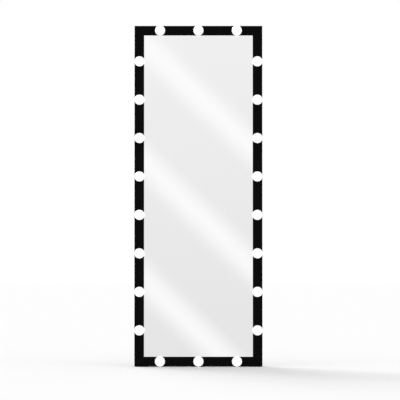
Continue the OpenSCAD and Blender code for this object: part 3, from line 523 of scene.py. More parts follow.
def places_along(rail, node, inset):
    """Where a CAD node's solids lie in a rail's own axes, those in the row this far in"""
    to_rail = RAILS[rail].inverted()
    spots = [to_rail @ middle for middle in middles(node)]
    return [spot for spot in spots if abs(spot.z - inset) < ROW_REACH]


def round_bends(shape):
    """Rounds the bends and the rims of a section that runs along Z"""
    outer, lip, wall, inside, rim = 1.2 * MM, 0.6 * MM, 0.8 * MM, 0.5 * MM, 0.3 * MM
    bends = {
        (0, FRONT): outer, (FACE_W, FRONT): lip, (FACE_W, FRONT + SHEET): lip,
        (SHEET, FRONT + SHEET): inside, (0, BACK): rim, (SHEET, BACK): rim,
        (INNER_WALL, FRONT + SHEET): wall,
        (SHEET + FLANGE, FLANGE_Y): rim, (SHEET + FLANGE, FLANGE_Y + SHEET): rim,
    }
    for (inset, depth), radius in bends.items():
        edges = [e for e in shape.edges
                 if all((v.co.xy - Vector((inset, depth))).length < WELD for v in e.verts)]
        ease(shape, edges, radius, 4 if radius == outer else 2)


def cut_mitres(shape, length):
    """Cuts both ends of a rail at 45 degrees and closes them"""
    seam = 0.05 * MM             # half the hairline gap of a mitre
    for end in (-1, 1):
        everything = shape.verts[:] + shape.edges[:] + shape.faces[:]
        cut = bmesh.ops.bisect_plane(
            shape, geom=everything, dist=WELD / 10, plane_co=(end * (length / 2 - seam), 0, 0),
            plane_no=(end, 0, 1), clear_outer=True)["geom_cut"]
        rim = [part for part in cut if isinstance(part, bmesh.types.BMEdge)]
        bmesh.ops.contextual_create(shape, geom=rim)
    bmesh.ops.recalc_face_normals(shape, faces=shape.faces)


def rail_holes(rail):
    """A rail's holes for its lampholders, cover screws, clip screws and corner screws"""
    half, length = SHEET / 2, 2 * SHEET
    holes = []
    for node, inset, depth, radius in (
            ("lampholder_rings", BULB_ROW, FRONT + half, LAMP_HOLE),
            ("cover_screws", COVER_SCREW_ROW, FLANGE_Y + half, COVER_HOLE)):
        holes += [((at.x, depth, at.z), TO_FRONT, radius, length)
                  for at in places_along(rail, node, inset)]
    for node, inset, wall, radius in (
            ("pane_clip_screws", INNER_WALL, INNER_WALL + half, CLIP_HOLE),
            ("corner_screws", CORNER_SCREW_ROW, half, CORNER_HOLE)):
        holes += [((at.x, at.y, wall), Matrix.Identity(4), radius, length)
                  for at in places_along(rail, node, inset)]
    return holes


def make_rail(rail):
    """Rolls one rail, cuts its mitres and drills it"""
    length = RAIL_LENGTHS[rail]
    spare = 2 * MM
    shape = thicken(outline(rail_section()), length + 2 * spare)
    place(shape, Matrix.Translation((0, 0, -length / 2 - spare)))
    round_bends(shape)
    place(shape, Matrix(((0, 0, 1, 0), (0, 1, 0, 0), (1, 0, 0, 0), (0, 0, 0, 1))))
    cut_mitres(shape, length)
    shape = place(drill(shape, rail_holes(rail)), RAILS[rail])
    make_piece("formed_" + rail, shape, matt_black, rail)


def make_feet():
    """Moulded strips under the frame, with a tread of grooves across their soles"""
    grooves, pitch, half_w, depth = 9, 6 * MM, 0.8 * MM, 0.6 * MM
    feet = []
    for low, high in solids("rubber_feet"):
        size = high - low
        foot = plate(size.x, size.y, size.z, 4 * MM, 0.5 * MM)
        for i in range(grooves):
            x = (i - (grooves - 1) / 2) * pitch
            foot = combine(foot, block(Vector((x - half_w, -size.y, -MM)),
                                       Vector((x + half_w, size.y, depth))))
        seat = ((low.x + high.x) / 2, (low.y + high.y) / 2, low.z)
        feet.append(place(foot, Matrix.Translation(seat)))
    make_piece("moulded_feet", together(feet), rubber, "rubber_feet")


def make_mirror():
    """The pane, cut from float glass, with its sharp edges ground off"""
    pane = block(*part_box("mirror_pane"), 0.4 * MM)
    make_piece("silvered_pane", pane, mirror, "mirror_pane")


# ---- Bulbs ----

GLOBE_R = 23.75 * MM
GLOBE_WALL = 1.2 * MM
GLOBE_STAND = 26 * MM        # from the face to a globe's middle
MOUTH_R = 12 * MM
MOUTH_AT = GLOBE_STAND - math.sqrt(GLOBE_R ** 2 - MOUTH_R ** 2)     # from the face to its mouth
NECK_R = 8.5 * MM
NECK_WALL = 1.5 * MM
HOLDER_R = 10 * MM


def bulb_places(node):
    """Each bulb's own axes, from a node with one solid a bulb: Z stands out of the face"""
    return [Matrix.Translation((middle.x, FRONT, middle.z)) @ TO_FRONT for middle in middles(node)]


def make_globes(side):
    """Blown shells with a round mouth, one at each bulb of a side"""
    inner = GLOBE_R - GLOBE_WALL
    mouth = MOUTH_AT - GLOBE_STAND
    outer_angle = math.degrees(math.asin(mouth / GLOBE_R))
    inner_angle = math.degrees(math.asin(mouth / inner))
    middle = (0, GLOBE_STAND)
    profile = arc(GLOBE_R, 90, outer_angle, 22, middle) + arc(inner, inner_angle, 90, 16, middle)
    node = "globes_" + side
    shape = repeat(lathe(profile), bulb_places(node))
    make_piece("opal_" + node, shape, opal, node, crease=50)


def make_necks():
    """White collars that carry the globes, curved out to each globe's mouth"""
    inner_mouth = math.sqrt((GLOBE_R - GLOBE_WALL) ** 2 - (GLOBE_STAND - MOUTH_AT) ** 2)
    seat = MOUTH_AT - 0.5 * MM           # the face that the lamp's board lies on
    shell_r = 6.9 * MM
    bottom = -8 * MM
    profile = [
        (0, seat - NECK_WALL), (NECK_R - NECK_WALL, seat - NECK_WALL),
        (NECK_R - NECK_WALL, bottom + MM), (shell_r - NECK_WALL, bottom + MM),
        (shell_r - NECK_WALL, bottom), (NECK_R, bottom), (NECK_R, 1.6 * MM),
        (NECK_R + 0.35 * MM, 2.6 * MM), (NECK_R + 1.3 * MM, 3.7 * MM),
        (MOUTH_R - 0.5 * MM, 4.9 * MM), (MOUTH_R, MOUTH_AT), (inner_mouth, MOUTH_AT),
        (inner_mouth, seat), (0, seat),
    ]
    shape = repeat(lathe(profile, 36), bulb_places("lampholder_rings"))
    make_piece("collared_necks", shape, white_pbt, "bulb_necks")


def make_rings():
    """Ring nuts that clamp the lampholders to the face, with finger grips round their rims"""
    bore, rim, top, edge = HOLDER_R + PIN_GAP, 14.5 * MM, 2 * MM, 0.7 * MM
    ring = lathe([(bore, 0), (rim, 0), (rim, top - edge), (rim - edge, top), (bore, top)])
    sides = [f for f in ring.faces if all(v.co.xy.length > rim - WELD for v in f.verts)]
    sides.sort(key=lambda f: math.atan2(f.calc_center_median().y, f.calc_center_median().x))
    bmesh.ops.inset_individual(ring, faces=sides[::2], thickness=0.15 * MM, depth=-0.4 * MM)
    shape = repeat(ring, bulb_places("lampholder_rings"))
    make_piece("grip_rings", shape, black_pa, "lampholder_rings")


# ---- Back ----

def pan_screw(size, length):
    """A pan head screw: its domed head stands from Z = 0 up, with a cross recess"""
    profile = [(0, -length), (size / 2 - 0.3 * MM, -length), (size / 2, 0.5 * MM - length),
               (size / 2, 0), (size, 0), (size, 0.2 * size)]
    profile += arc(1.9 * size, 58, 90, 4, (0, -1.4 * size))
    arm, wing, deep = 0.13 * size, 0.62 * size, 0.17 * size
    cross = outline([
        (arm, arm), (wing, arm), (wing, -arm), (arm, -arm), (arm, -wing), (-arm, -wing),
        (-arm, -arm), (-wing, -arm), (-wing, arm), (-arm, arm), (-arm, wing), (arm, wing)])
    bmesh.ops.translate(cross, verts=cross.verts, vec=(0, 0, deep))
    return combine(lathe(profile, 28), thicken(cross, size))


def make_screws(name, node, size, length, finish):
    """Pan head screws at a CAD node's screws, each driven home at its own angle"""
    places = []
    for count, (low, high) in enumerate(solids(node)):
        seat = ((low.x + high.x) / 2, high.y - size / 2, (low.z + high.z) / 2)
        driven = Matrix.Rotation(count * 0.9, 4, "Z")
        places.append(Matrix.Translation(seat) @ TO_BACK @ driven)
    make_piece(name, repeat(pan_screw(size, length), places), finish, node)


VENTS = 9                    # slots in a row
VENT_PITCH = 12 * MM
VENT_W = 3 * MM
VENT_END = VENT_W / 2.02     # a hair under half, so that the ends come out round
VENT_LEN = 40 * MM
VENT_FROM_END = 170 * MM
WINDOW_W = 20 * MM           # the opening behind each hanger plate
WINDOW_H = 31 * MM
WINDOW_UP = 5.5 * MM         # its middle over the plate's
KEY_R = 5 * MM               # a keyhole's round entry
KEY_SLOT = 5 * MM            # and its slot's width
KEY_RISE = 15 * MM           # from the entry's middle to the slot's top


def make_cover():
    """Pressed sheet cover with its holes, its hanger windows and two rows of round-ended vents"""
    through = 4 * MM
    y = (COVER_LOW.y + COVER_HIGH.y) / 2
    holes = []
    for node, radius in (("cover_screws", COVER_HOLE), ("hanger_screws", COVER_HOLE),
                         ("stand_bolts", BOLT_HOLE), ("housing_screws", CLIP_HOLE),
                         ("cable_grommet", GROMMET_HOLE)):
        holes += [((at.x, y, at.z), TO_BACK, radius, through) for at in middles(node)]
    cover = drill(block(COVER_LOW, COVER_HIGH, 0.25 * MM), holes)
    openings = []
    for end in (-1, 1):
        z = MID + end * ((TOP - FOOT) / 2 - VENT_FROM_END)
        for i in range(VENTS):
            seat = Matrix.Translation(((i - (VENTS - 1) / 2) * VENT_PITCH, y - through / 2, z))
            openings.append(place(plate(VENT_W, VENT_LEN, through, VENT_END), seat @ TO_BACK))
    for at in middles("hanger_plates"):
        seat = Matrix.Translation((at.x, y - through / 2, at.z + WINDOW_UP))
        openings.append(place(plate(WINDOW_W, WINDOW_H, through, 3 * MM), seat @ TO_BACK))
    cover = combine(cover, together(openings))
    make_piece("pressed_back_cover", cover, satin_black, "back_cover")


def keyhole(height):
    """The cut of a keyhole: a round entry with a slot that runs up to a round end"""
    start = math.degrees(math.asin(KEY_SLOT / 2 / KEY_R))
    points = arc(KEY_R, 90 + start, 450 - start, 24)
    points += arc(KEY_SLOT / 2, 0, 180, 8, (0, KEY_RISE - KEY_SLOT / 2))
    return thicken(outline(points), height)


def make_hanger_plates():
    """Stamped plates with a keyhole each"""
    screw_from_end = 5 * MM
    plates = []
    for low, high in solids("hanger_plates"):
        size = high - low
        through = 3 * size.y
        blank = plate(size.x, size.z, size.y, 4 * MM, 0.3 * MM)
        blank = combine(blank, place(keyhole(through), Matrix.Translation((0, 0, -size.y))))
        holes = [((0, end * (size.z / 2 - screw_from_end), 0), Matrix.Identity(4),
                  COVER_HOLE, through) for end in (-1, 1)]
        seat = ((low.x + high.x) / 2, low.y, (low.z + high.z) / 2)
        plates.append(place(drill(blank, holes), Matrix.Translation(seat) @ TO_BACK))
    make_piece("stamped_hanger_plates", together(plates), zinc, "hanger_plates")


# ---- Stand ----

TUBE_R = 8 * MM
TUBE_WALL = 1.5 * MM
TUBE_BEND = 40 * MM
LEG_X = 160 * MM             # from the middle to a leg
LEG_TOP = 24 * MM            # over the pivot
PIN_R = 4 * MM
EAR_AT = 9.6 * MM            # from a leg's middle to an ear's inner face
EAR_T = 3 * MM
EAR_OUT = EAR_AT + EAR_T     # and to its outer face
EAR_REACH = 10 * MM          # round the pin
EAR_FOOT = 22 * MM           # half an ear's height at the base plate

# Each hinge pin's own axes: Z points out from the middle of the stand
PIN_PLACES = [Matrix.Translation(PIVOT + Vector((side * LEG_X, 0, 0)))
              @ Matrix.Scale(side, 4, (1, 0, 0)) @ TO_RIGHT for side in (-1, 1)]

# From the hinge down a leg to the foot bar's middle
foot_low, foot_high = solids("stand_sleeves")[0]
FOOT_BAR = (PIVOT.z - (foot_low.z + foot_high.z) / 2) / math.cos(LEAN)


def pull(shape, end, way):
    """Draws a tube's end faces along a way and gives back the new end"""
    grown = bmesh.ops.extrude_face_region(shape, geom=end)["geom"]
    corners = [part for part in grown if isinstance(part, bmesh.types.BMVert)]
    bmesh.ops.translate(shape, verts=corners, vec=way)
    return [part for part in grown if isinstance(part, bmesh.types.BMFace)]


def bend(shape, end, centre):
    """Bends a tube's end a quarter turn about a line along Y, from down to across to up"""
    spun = bmesh.ops.spin(shape, geom=end, cent=centre, axis=(0, 1, 0), angle=-TURN / 4,
                          steps=14, use_merge=False, use_duplicate=False)["geom_last"]
    return [part for part in spun if isinstance(part, bmesh.types.BMFace)]


def make_tube():
    """Bends the stand's steel tube to a U and drills its legs for the pins"""
    shape = bmesh.new()
    rims = []
    for radius in (TUBE_R, TUBE_R - TUBE_WALL):
        rim = bmesh.ops.create_circle(shape, segments=36, radius=radius)["verts"]
        rims += list({edge for corner in rim for edge in corner.link_edges})
    end = bmesh.ops.bridge_loops(shape, edges=rims)["faces"]
    bmesh.ops.translate(shape, verts=shape.verts, vec=(-LEG_X, 0, LEG_TOP))
    run = LEG_X - TUBE_BEND
    drop = FOOT_BAR - TUBE_BEND
    end = pull(shape, end, (0, 0, -LEG_TOP - drop))
    end = bend(shape, end, (-run, 0, -drop))
    end = pull(shape, end, (2 * run, 0, 0))
    end = bend(shape, end, (run, 0, -drop))
    pull(shape, end, (0, 0, LEG_TOP + drop))
    bmesh.ops.recalc_face_normals(shape, faces=shape.faces)
    holes = [((side * LEG_X, 0, 0), TO_RIGHT, PIN_R + PIN_GAP, 3 * TUBE_R) for side in (-1, 1)]
    shape = place(drill(shape, holes), STAND)
    make_piece("bent_stand_tube", shape, satin_black, "stand_tube")


def make_tube_plugs():
    """Moulded plugs in the legs' open tops, with low domed caps"""
    bore = TUBE_R - TUBE_WALL - PIN_GAP
    foot = -8 * MM
    profile = [(0, foot), (bore - 0.6 * MM, foot), (bore, foot + 0.8 * MM), (bore, 0.1 * MM),
               (bore - 0.6 * MM, 0.35 * MM), (0, 0.5 * MM)]
    places = [STAND @ Matrix.Translation((side * LEG_X, 0, LEG_TOP)) for side in (-1, 1)]
    plugs = repeat(lathe(profile, 36), places)
    make_piece("domed_tube_plugs", plugs, black_pa, "stand_tube_plugs")


def make_sleeves():
    """Rubber sleeves on the foot bar, ribbed round for grip"""
    low, high = solids("stand_sleeves")[0]
    half, rim, bore = (high.x - low.x) / 2, (high.z - low.z) / 2, TUBE_R + PIN_GAP
    edge, plain, deep, top_w, foot_w = 0.8 * MM, 6 * MM, 0.7 * MM, 1.2 * MM, 0.7 * MM
    grooves = 6
    pitch = 2 * (half - plain) / grooves
    profile = [(bore, -half), (rim - edge, -half), (rim, edge - half)]
    for i in range(grooves):
        middle = plain - half + (i + 0.5) * pitch
        profile += [(rim, middle - top_w), (rim - deep, middle - foot_w),
                    (rim - deep, middle + foot_w), (rim, middle + top_w)]
    profile += [(rim, half - edge), (rim - edge, half), (bore, half)]
    places = [Matrix.Translation(at) @ TO_RIGHT for at in middles("stand_sleeves")]
    make_piece("ribbed_sleeves", repeat(lathe(profile), places), rubber, "stand_sleeves")


def make_brackets():
    """Clevis brackets: a base plate with two ears that are round about the pin"""
    bolts = middles("stand_bolts")
    base_t = 3 * MM
    brackets = []
    for low, high in solids("stand_brackets"):
        middle = (low + high) / 2
        size = high - low
        base = place(plate(size.x, size.z, base_t, 5 * MM, 0.4 * MM),
                     Matrix.Translation((middle.x, low.y, middle.z)) @ TO_BACK)
        reach = high.y - low.y - base_t / 2
        for side in (-1, 1):
            ear = outline([(0, -EAR_FOOT), (reach, -EAR_REACH), (reach, EAR_REACH), (0, EAR_FOOT)])
            nose = [v for v in ear.verts if v.co.x > reach - WELD]
            thicken(round_corners(ear, nose, 0.92 * EAR_REACH, 8), EAR_T)
            ease(ear, [e for e in level_edges(ear, 0) + level_edges(ear, EAR_T)
                       if any(v.co.x > WELD for v in e.verts)], 0.35 * MM)
            inner = EAR_AT if side > 0 else -EAR_OUT
            stood = Matrix(((0, 0, 1, middle.x + inner), (1, 0, 0, low.y + base_t / 2),
                            (0, 1, 0, middle.z), (0, 0, 0, 1)))
            base = combine(base, place(ear, stood), "UNION")
        holes = [((middle.x, PIVOT.y, PIVOT.z), TO_RIGHT, PIN_R + PIN_GAP, size.x)]
        holes += [((at.x, low.y, at.z), TO_BACK, BOLT_HOLE, 4 * base_t) for at in bolts
                  if abs(at.x - middle.x) < size.x / 2]
        brackets.append(drill(base, holes))
    make_piece("clevis_brackets", together(brackets), satin_black, "stand_brackets")


def make_pins():
    """Hinge pins, with a chamfered and dished head outside and a chamfered tail for the clip"""
    tail = -EAR_OUT - 3.5 * MM
    head = EAR_OUT + 2.5 * MM
    head_r = PIN_R + 3 * MM
    edge, tip, dish = 0.7 * MM, 0.6 * MM, 0.4 * MM
    profile = [(0, tail), (PIN_R - tip, tail), (PIN_R, tail + tip), (PIN_R, EAR_OUT),
               (head_r, EAR_OUT), (head_r, head - edge), (head_r - edge, head),
               (PIN_R - 1.5 * MM, head), (PIN_R - 2 * MM, head - dish), (0, head - dish)]
    make_piece("headed_pins", repeat(lathe(profile, 40), PIN_PLACES), nickel, "stand_pins")


def make_pin_clips():
    """Dished push-on clips of spring steel"""
    bore, rim = PIN_R + PIN_GAP, PIN_R + 2.5 * MM
    tip, foot = -EAR_OUT - 1.5 * MM, -EAR_OUT - 0.3 * MM
    spring = 0.5 * MM
    profile = [(bore, tip), (bore, tip + spring), (rim - 0.8 * MM, foot), (rim, foot),
               (rim, foot - spring), (rim - 0.6 * MM, foot - 0.6 * MM), (bore + 0.6 * MM, tip)]
    clips = repeat(lathe(profile, 40), PIN_PLACES)
    make_piece("dished_clips", clips, nickel, "stand_pin_clips")


# ---- Controls ----

box_low, box_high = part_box("control_housing")
BOX_WALL = 2 * MM
TAB_H = 12 * MM
TAB_W = 24 * MM
TAB_T = 3 * MM
BOX_MID = Vector(((box_low.x + box_high.x) / 2, box_low.y, (box_low.z + box_high.z) / 2))
BOX_H = box_high.z - box_low.z - 2 * TAB_H
GLAND_R = 6 * MM
DIMMER_HOLE = 4.2 * MM
BEZEL = 1.2 * MM             # how far the switch's bezel covers the housing round its case
knob_low, knob_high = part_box("dimmer_knob")
KNOB_R = 11 * MM
KNOB_LEN = knob_high.x - knob_low.x
KNOB_MID = (knob_low + knob_high) / 2

# The rocker turns about its axle; at rest it leans by half its travel
rocker_hinge = next(joint for joint in frame["joints"] if joint["name"] == "rocker_tip")
ROCKER = Vector(rocker_hinge["pos_m"])
ROCKER_TURN = math.radians(rocker_hinge["range_deg"][1])
ROCKER_HALF = 7.6 * MM       # half its height
ROCKER_W = 9.8 * MM
ROCKER_RISE = 6.5 * MM       # from its axle to its face's ends
AXLE_R = 1.2 * MM
WELL_HALF = 1.12 * ROCKER_HALF + 0.3 * MM
WELL_HALF_W = ROCKER_W / 2 + 0.4 * MM


def make_housing():
    """Moulded housing with soft outer edges and a screw tab at each end"""
    width, depth = box_high.x - box_low.x, box_high.y - box_low.y
    shell = plate(width, BOX_H, depth, 5 * MM)
    ease(shell, level_edges(shell, depth), 2.2 * MM, 4)
    tabs = plate(TAB_W, BOX_H + 2 * TAB_H, TAB_T, 4 * MM)
    ease(tabs, level_edges(tabs, TAB_T), 0.5 * MM)
    shell = combine(shell, tabs, "UNION")
    cavity = plate(width - 2 * BOX_WALL, BOX_H - 2 * BOX_WALL, depth - BOX_WALL + MM, 3 * MM)
    shell = combine(shell, place(cavity, Matrix.Translation((0, 0, -MM))))
    shell = place(shell, Matrix.Translation(BOX_MID) @ TO_BACK)
    side = box_high.x - BOX_WALL / 2
    gland = middles("cord_gland")[0]
    through = 3 * BOX_WALL
    holes = [((at.x, box_low.y, at.z), TO_BACK, CLIP_HOLE, 4 * TAB_T)
             for at in middles("housing_screws")]
    holes.append(((side, KNOB_MID.y, KNOB_MID.z), TO_RIGHT, DIMMER_HOLE, through))
    holes.append(((gland.x, gland.y, BOX_MID.z - BOX_H / 2), Matrix.Identity(4),
                  GLAND_R + PIN_GAP, through))
    shell = drill(shell, holes)
    case_low, case_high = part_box("switch_body")
    lip = Vector((0, BEZEL - PIN_GAP, BEZEL - PIN_GAP))
    window = block(Vector((side - 2 * BOX_WALL, case_low.y, case_low.z)) + lip,
                   Vector((side + 2 * BOX_WALL, case_high.y, case_high.z)) - lip)
    make_piece("moulded_housing", combine(shell, window), black_abs, "control_housing")


def make_knob():
    """Moulded knob: finger grooves round its side, a crowned edge and a slot for the pointer"""
    bore = 3 * MM + PIN_GAP
    bore_end = KNOB_LEN - 1.95 * MM
    foot, crown = 0.3 * MM, 1.2 * MM
    profile = [(0, bore_end), (bore, bore_end), (bore, 0), (KNOB_R - foot, 0), (KNOB_R, foot)]
    profile += arc(crown, 0, 90, 4, (KNOB_R - crown, KNOB_LEN - crown))
    profile += [(0, KNOB_LEN)]
    knob = lathe(profile, 72)
    grooves, groove_r, groove_at = 18, 1.1 * MM, KNOB_R + 0.5 * MM
    turns = [Matrix.Rotation((i + 0.5) * TURN / grooves, 4, "Z")
             @ Matrix.Translation((groove_at, 0, KNOB_LEN / 2)) for i in range(grooves)]
    knob = combine(knob, repeat(rod(groove_r, 2 * KNOB_LEN, 20), turns))
    low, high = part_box("knob_pointer")
    half_w = 0.5 * MM
    slot = block(Vector((-half_w, low.z - KNOB_MID.z - PIN_GAP, KNOB_LEN - half_w)),
                 Vector((half_w, high.z - KNOB_MID.z + PIN_GAP, KNOB_LEN + MM)))
    knob = combine(knob, slot)
    seat = Matrix.Translation((knob_low.x, KNOB_MID.y, KNOB_MID.z)) @ TO_RIGHT
    make_piece("grooved_knob", place(knob, seat), black_abs, "dimmer_knob")


def make_switch_case():
    """Switch case behind a rounded bezel, with a well for the rocker and holes for its axle"""
    low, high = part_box("switch_body")
    bezel = block(Vector((box_high.x, low.y, low.z)), high, 0.5 * MM)
    far = Vector((box_high.x + MM / 2, high.y - BEZEL, high.z - BEZEL))
    case = block(low + Vector((0, BEZEL, BEZEL)), far, 0.2 * MM)
    case = combine(bezel, case, "UNION")
    well = block(ROCKER + Vector((-6 * MM, -WELL_HALF_W, -WELL_HALF)),
                 ROCKER + Vector((14 * MM, WELL_HALF_W, WELL_HALF)))
    case = combine(case, well)
    axle = [(tuple(ROCKER), TO_FRONT, AXLE_R + PIN_GAP, 2 * (WELL_HALF_W + 1.3 * MM))]
    make_piece("bezelled_switch_case", drill(case, axle), black_pa, "switch_body")


def make_rocker():
    """Glossy rocker with a hollowed face, on its axle, with its top end pressed in"""
    dip = 1.7 * MM
    radius = (ROCKER_HALF ** 2 + dip ** 2) / (2 * dip)
    half_angle = math.degrees(math.asin(ROCKER_HALF / radius))
    face = arc(radius, 180 + half_angle, 180 - half_angle, 8, (ROCKER_RISE - dip + radius, 0))
    points = face + [(0, ROCKER_HALF + 0.1 * MM), (-3 * MM, 4 * MM), (-3 * MM, -4 * MM),
                     (0, -ROCKER_HALF - 0.1 * MM)]
    cap = thicken(outline(points), ROCKER_W)
    ease(cap, level_edges(cap, 0) + level_edges(cap, ROCKER_W), 0.5 * MM)
    place(cap, Matrix.Translation((0, 0, -ROCKER_W / 2)))
    cap = combine(cap, rod(AXLE_R, 2 * (WELL_HALF_W + MM), 24), "UNION")
    seat = (Matrix.Translation(ROCKER) @ Matrix.Rotation(-ROCKER_TURN / 2, 4, "Y")
            @ Matrix.Rotation(TURN / 4, 4, "X"))
    make_piece("hollowed_rocker", place(cap, seat), glossy_pa, "switch_rocker")


def make_gland():
    """Cord bush in the housing's bottom, with a tapered and grooved nose"""
    low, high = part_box("cord_gland")
    bore, collar = 3.5 * MM, GLAND_R + 1.5 * MM
    seat = BOX_MID.z - BOX_H / 2
    nose = low.z - seat
    edge = 0.5 * MM
    profile = [(bore, nose + edge), (bore + edge, nose), (GLAND_R - 0.9 * MM, nose),
               (GLAND_R - 0.5 * MM, nose + 0.4 * MM)]
    for i in range(3):
        start = nose + (1.3 + 2 * i) * MM
        rim = GLAND_R - 0.4 * MM + i * 0.5 * MM
        floor_r = rim - 0.6 * MM
        profile += [(rim, start), (floor_r, start + 0.3 * MM), (floor_r, start + 0.8 * MM),
                    (rim + 0.15 * MM, start + 1.1 * MM)]
    profile += [(collar, -2.2 * MM), (collar, 0), (GLAND_R, 0),
                (GLAND_R, high.z - seat), (bore, high.z - seat)]
    middle = (low + high) / 2
    gland = place(lathe(profile, 40), Matrix.Translation((middle.x, middle.y, seat)))
    make_piece("grooved_gland", gland, rubber, "cord_gland")


for rail in RAILS:
    make_rail(rail)
make_feet()
make_mirror()
for side in ("left", "right", "top", "bottom"):
    make_globes(side)
make_necks()
make_rings()
make_cover()
make_screws("cover_pan_screws", "cover_screws", 3.5 * MM, 8 * MM, zinc)
make_screws("hanger_pan_screws", "hanger_screws", 3.5 * MM, 8 * MM, zinc)
make_screws("bracket_pan_bolts", "stand_bolts", 5 * MM, 12 * MM, zinc)
make_screws("housing_pan_screws", "housing_screws", 3 * MM, 7 * MM, zinc)
make_hanger_plates()
make_tube()
make_tube_plugs()
make_sleeves()
make_brackets()
make_pins()
make_pin_clips()
make_housing()
make_knob()
make_switch_case()
make_rocker()
make_gland()


# ---- Studio ----

CAMERA = Vector((0.0074, -12.0225, 0.438))
LENS = 230.35                # in millimetres, as the sensor's width is
SENSOR = 36
TILT = math.radians(1.6387)  # up from level
FAR = 400                    # as far as the camera sees


def add_camera():
    """A long lens, low down in front of the mirror"""
    camera = bpy.data.objects.new("camera", bpy.data.cameras.new("camera"))
    camera.data.lens = LENS
    camera.data.sensor_width = SENSOR
    camera.data.clip_end = FAR
    camera.location = CAMERA
    camera.rotation_euler = (TURN / 4 + TILT, 0, 0)
    bpy.context.scene.collection.objects.link(camera)
    bpy.context.scene.camera = camera


WHITE = (1, 1, 1, 1)
SKY = 0.856                  # how bright the white room is as a light
ROOM_LOW, ROOM_HIGH = 0.832, 0.927   # and what a mirror sees of it, low and high
STRIP_SPACING = 0.5565       # from one painted strip to the next, as the mirror shows them
STRIP_HALF = 0.152           # half a strip's width
STRIP_FIRST = 0.157          # height of the lowest strip at the middle of the mirror
STRIP_SLOPE = 0.95           # how much a strip sinks for each metre to the right
PAINTED_STRIP_BRIGHTNESS = 1.06           # how bright a painted strip is
STRIP_SHARE = 0.785          # and how much of the room's own tone it covers
BANK = 4.0                   # places for strips in a bank, of which the last is left dark
LEAST_DEPTH = 0.02           # of a way, so that nothing is divided by nought
MATH = "ShaderNodeMath"


def over_mirror(tree, way):
    """How far across and how high a way crosses the mirror's face, as if it began at the camera"""
    depth = add_node(tree, MATH, {0: way["Y"]}, operation="ABSOLUTE").outputs[0]
    ahead = add_node(tree, MATH, {0: depth, 1: LEAST_DEPTH}, operation="MAXIMUM").outputs[0]
    run = add_node(tree, MATH, {0: way["X"], 1: ahead}, operation="DIVIDE").outputs[0]
    rise = add_node(tree, MATH, {0: way["Z"], 1: ahead}, operation="DIVIDE").outputs[0]
    distance = FRONT - CAMERA.y
    across = add_node(tree, MATH, {0: run, 1: distance, 2: CAMERA.x},
                      operation="MULTIPLY_ADD").outputs[0]
    height = add_node(tree, MATH, {0: rise, 1: distance, 2: CAMERA.z},
                      operation="MULTIPLY_ADD").outputs[0]
    return across, height


def painted_strip_reflections(tree, way, across, height):
    """How much of each way a painted strip covers: strips at even steps of the slanted height, in
    front
    """
    slant = add_node(tree, MATH, {0: across, 1: STRIP_SLOPE, 2: height},
                     operation="MULTIPLY_ADD").outputs[0]
    past = add_node(tree, MATH, {0: slant, 1: STRIP_FIRST - STRIP_SPACING / 2},
                    operation="SUBTRACT").outputs[0]
    order = add_node(tree, MATH, {0: past, 1: STRIP_SPACING}, operation="DIVIDE").outputs[0]
    phase = add_node(tree, MATH, {0: order}, operation="FRACT").outputs[0]
    off = add_node(tree, MATH, {0: phase, 1: 0.5}, operation="SUBTRACT").outputs[0]
    off = add_node(tree, MATH, {0: off}, operation="ABSOLUTE").outputs[0]
    strip = add_node(tree, "ShaderNodeMapRange", {
        "Value": off, "From Min": STRIP_HALF / STRIP_SPACING, "From Max": 0.0,
        "To Max": STRIP_SHARE}, interpolation_type="SMOOTHSTEP").outputs["Result"]
    banks = add_node(tree, MATH, {0: order, 1: BANK}, operation="DIVIDE").outputs[0]
    banks = add_node(tree, MATH, {0: banks}, operation="FRACT").outputs[0]
    lit = add_node(tree, MATH, {0: banks, 1: 1 - 1 / BANK}, operation="LESS_THAN").outputs[0]
    front = add_node(tree, MATH, {0: way["Y"], 1: 0.0}, operation="LESS_THAN").outputs[0]
    strip = add_node(tree, MATH, {0: strip, 1: lit}, operation="MULTIPLY").outputs[0]
    return add_node(tree, MATH, {0: strip, 1: front}, operation="MULTIPLY").outputs[0]


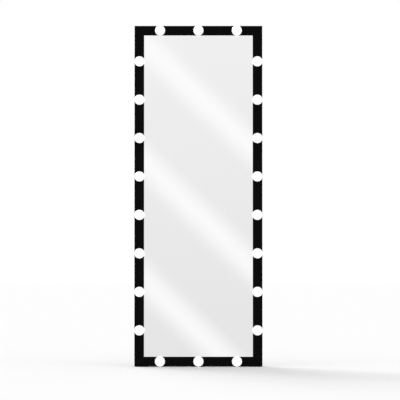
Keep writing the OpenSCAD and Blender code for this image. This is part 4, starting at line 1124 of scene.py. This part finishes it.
def add_world():
    """White all round, to the camera and as a light. Reflections alone see a pale room instead,
    a little darker towards the floor, with a bank of soft slanting strips in front, of which the
    mirror shows three. The strips are drawn here and light nothing: they are not lamps"""
    world = bpy.data.worlds.new("studio")
    bpy.context.scene.world = world
    world.use_nodes = True
    tree = world.node_tree
    tree.nodes.clear()
    direction = add_node(tree, "ShaderNodeTexCoord").outputs["Generated"]
    way = add_node(tree, "ShaderNodeSeparateXYZ", {"Vector": direction}).outputs
    across, height = over_mirror(tree, way)
    # the strips are a painted reflection: only shiny surfaces see them, and they light nothing
    strip = painted_strip_reflections(tree, way, across, height)
    room = add_node(tree, "ShaderNodeMapRange", {
        "Value": height, "From Min": FOOT, "From Max": TOP,
        "To Min": ROOM_LOW, "To Max": ROOM_HIGH}).outputs["Result"]
    shown = add_node(tree, "ShaderNodeMix", {0: strip, 2: room, 3: PAINTED_STRIP_BRIGHTNESS}).outputs[0]
    rays = add_node(tree, "ShaderNodeLightPath").outputs
    seen = add_node(tree, "ShaderNodeMix", {
        0: rays["Is Glossy Ray"], 2: SKY, 3: shown}).outputs[0]
    seen = add_node(tree, "ShaderNodeMix", {
        0: rays["Is Camera Ray"], 2: seen, 3: 1.0}).outputs[0]
    background = add_node(tree, "ShaderNodeBackground", {"Color": WHITE, "Strength": seen})
    add_node(tree, "ShaderNodeOutputWorld", {"Surface": background.outputs["Background"]})


def add_light(name, towards, elevation, strength, softness):
    """A distant light that shines towards a bearing, from +X, at an angle to the floor. All its
    angles are in degrees, and softness is how wide it looks"""
    light = bpy.data.lights.new(name, "SUN")
    light.energy = strength
    light.angle = math.radians(softness)
    holder = bpy.data.objects.new(name, light)
    bearing, drop = math.radians(towards), math.radians(elevation)
    beam = Vector((math.cos(bearing) * math.cos(drop), math.sin(bearing) * math.cos(drop),
                   -math.sin(drop)))
    holder.rotation_euler = beam.to_track_quat("-Z", "Y").to_euler()
    bpy.context.scene.collection.objects.link(holder)


FLOOR_W = 160                # wide enough to show no edge in any view
FLOOR_T = 0.01


def add_floor():
    """Pale painted floor, dull and faintly mottled"""
    finish, tree, shader, coords = start_finish("painted_floor", {
        "Roughness": 0.9, "Specular IOR Level": 0.0})
    mottle = add_node(tree, "ShaderNodeTexNoise", {
        "Vector": coords, "Scale": 1 / (300 * MM), "Detail": 2.0}).outputs["Fac"]
    lay_patterns(tree, shader, tone=(mottle, "#f1f1f1", "#f3f3f3"))
    shape = plate(FLOOR_W, FLOOR_W, FLOOR_T, corner=1)
    place(shape, Matrix.Translation((0, 0, -FLOOR_T)))
    mesh = bpy.data.meshes.new("floor")
    shape.to_mesh(mesh)
    shape.free()
    mesh.materials.append(finish)
    floor = bpy.data.objects.new("floor", mesh)
    floor.visible_glossy = False     # so the mirror shows the pale room and never this floor
    bpy.context.scene.collection.objects.link(floor)


add_camera()
add_world()
add_light("key", towards=-65, elevation=30, strength=1.6, softness=36)
add_floor()
bpy.context.scene.view_settings.view_transform = "Standard"
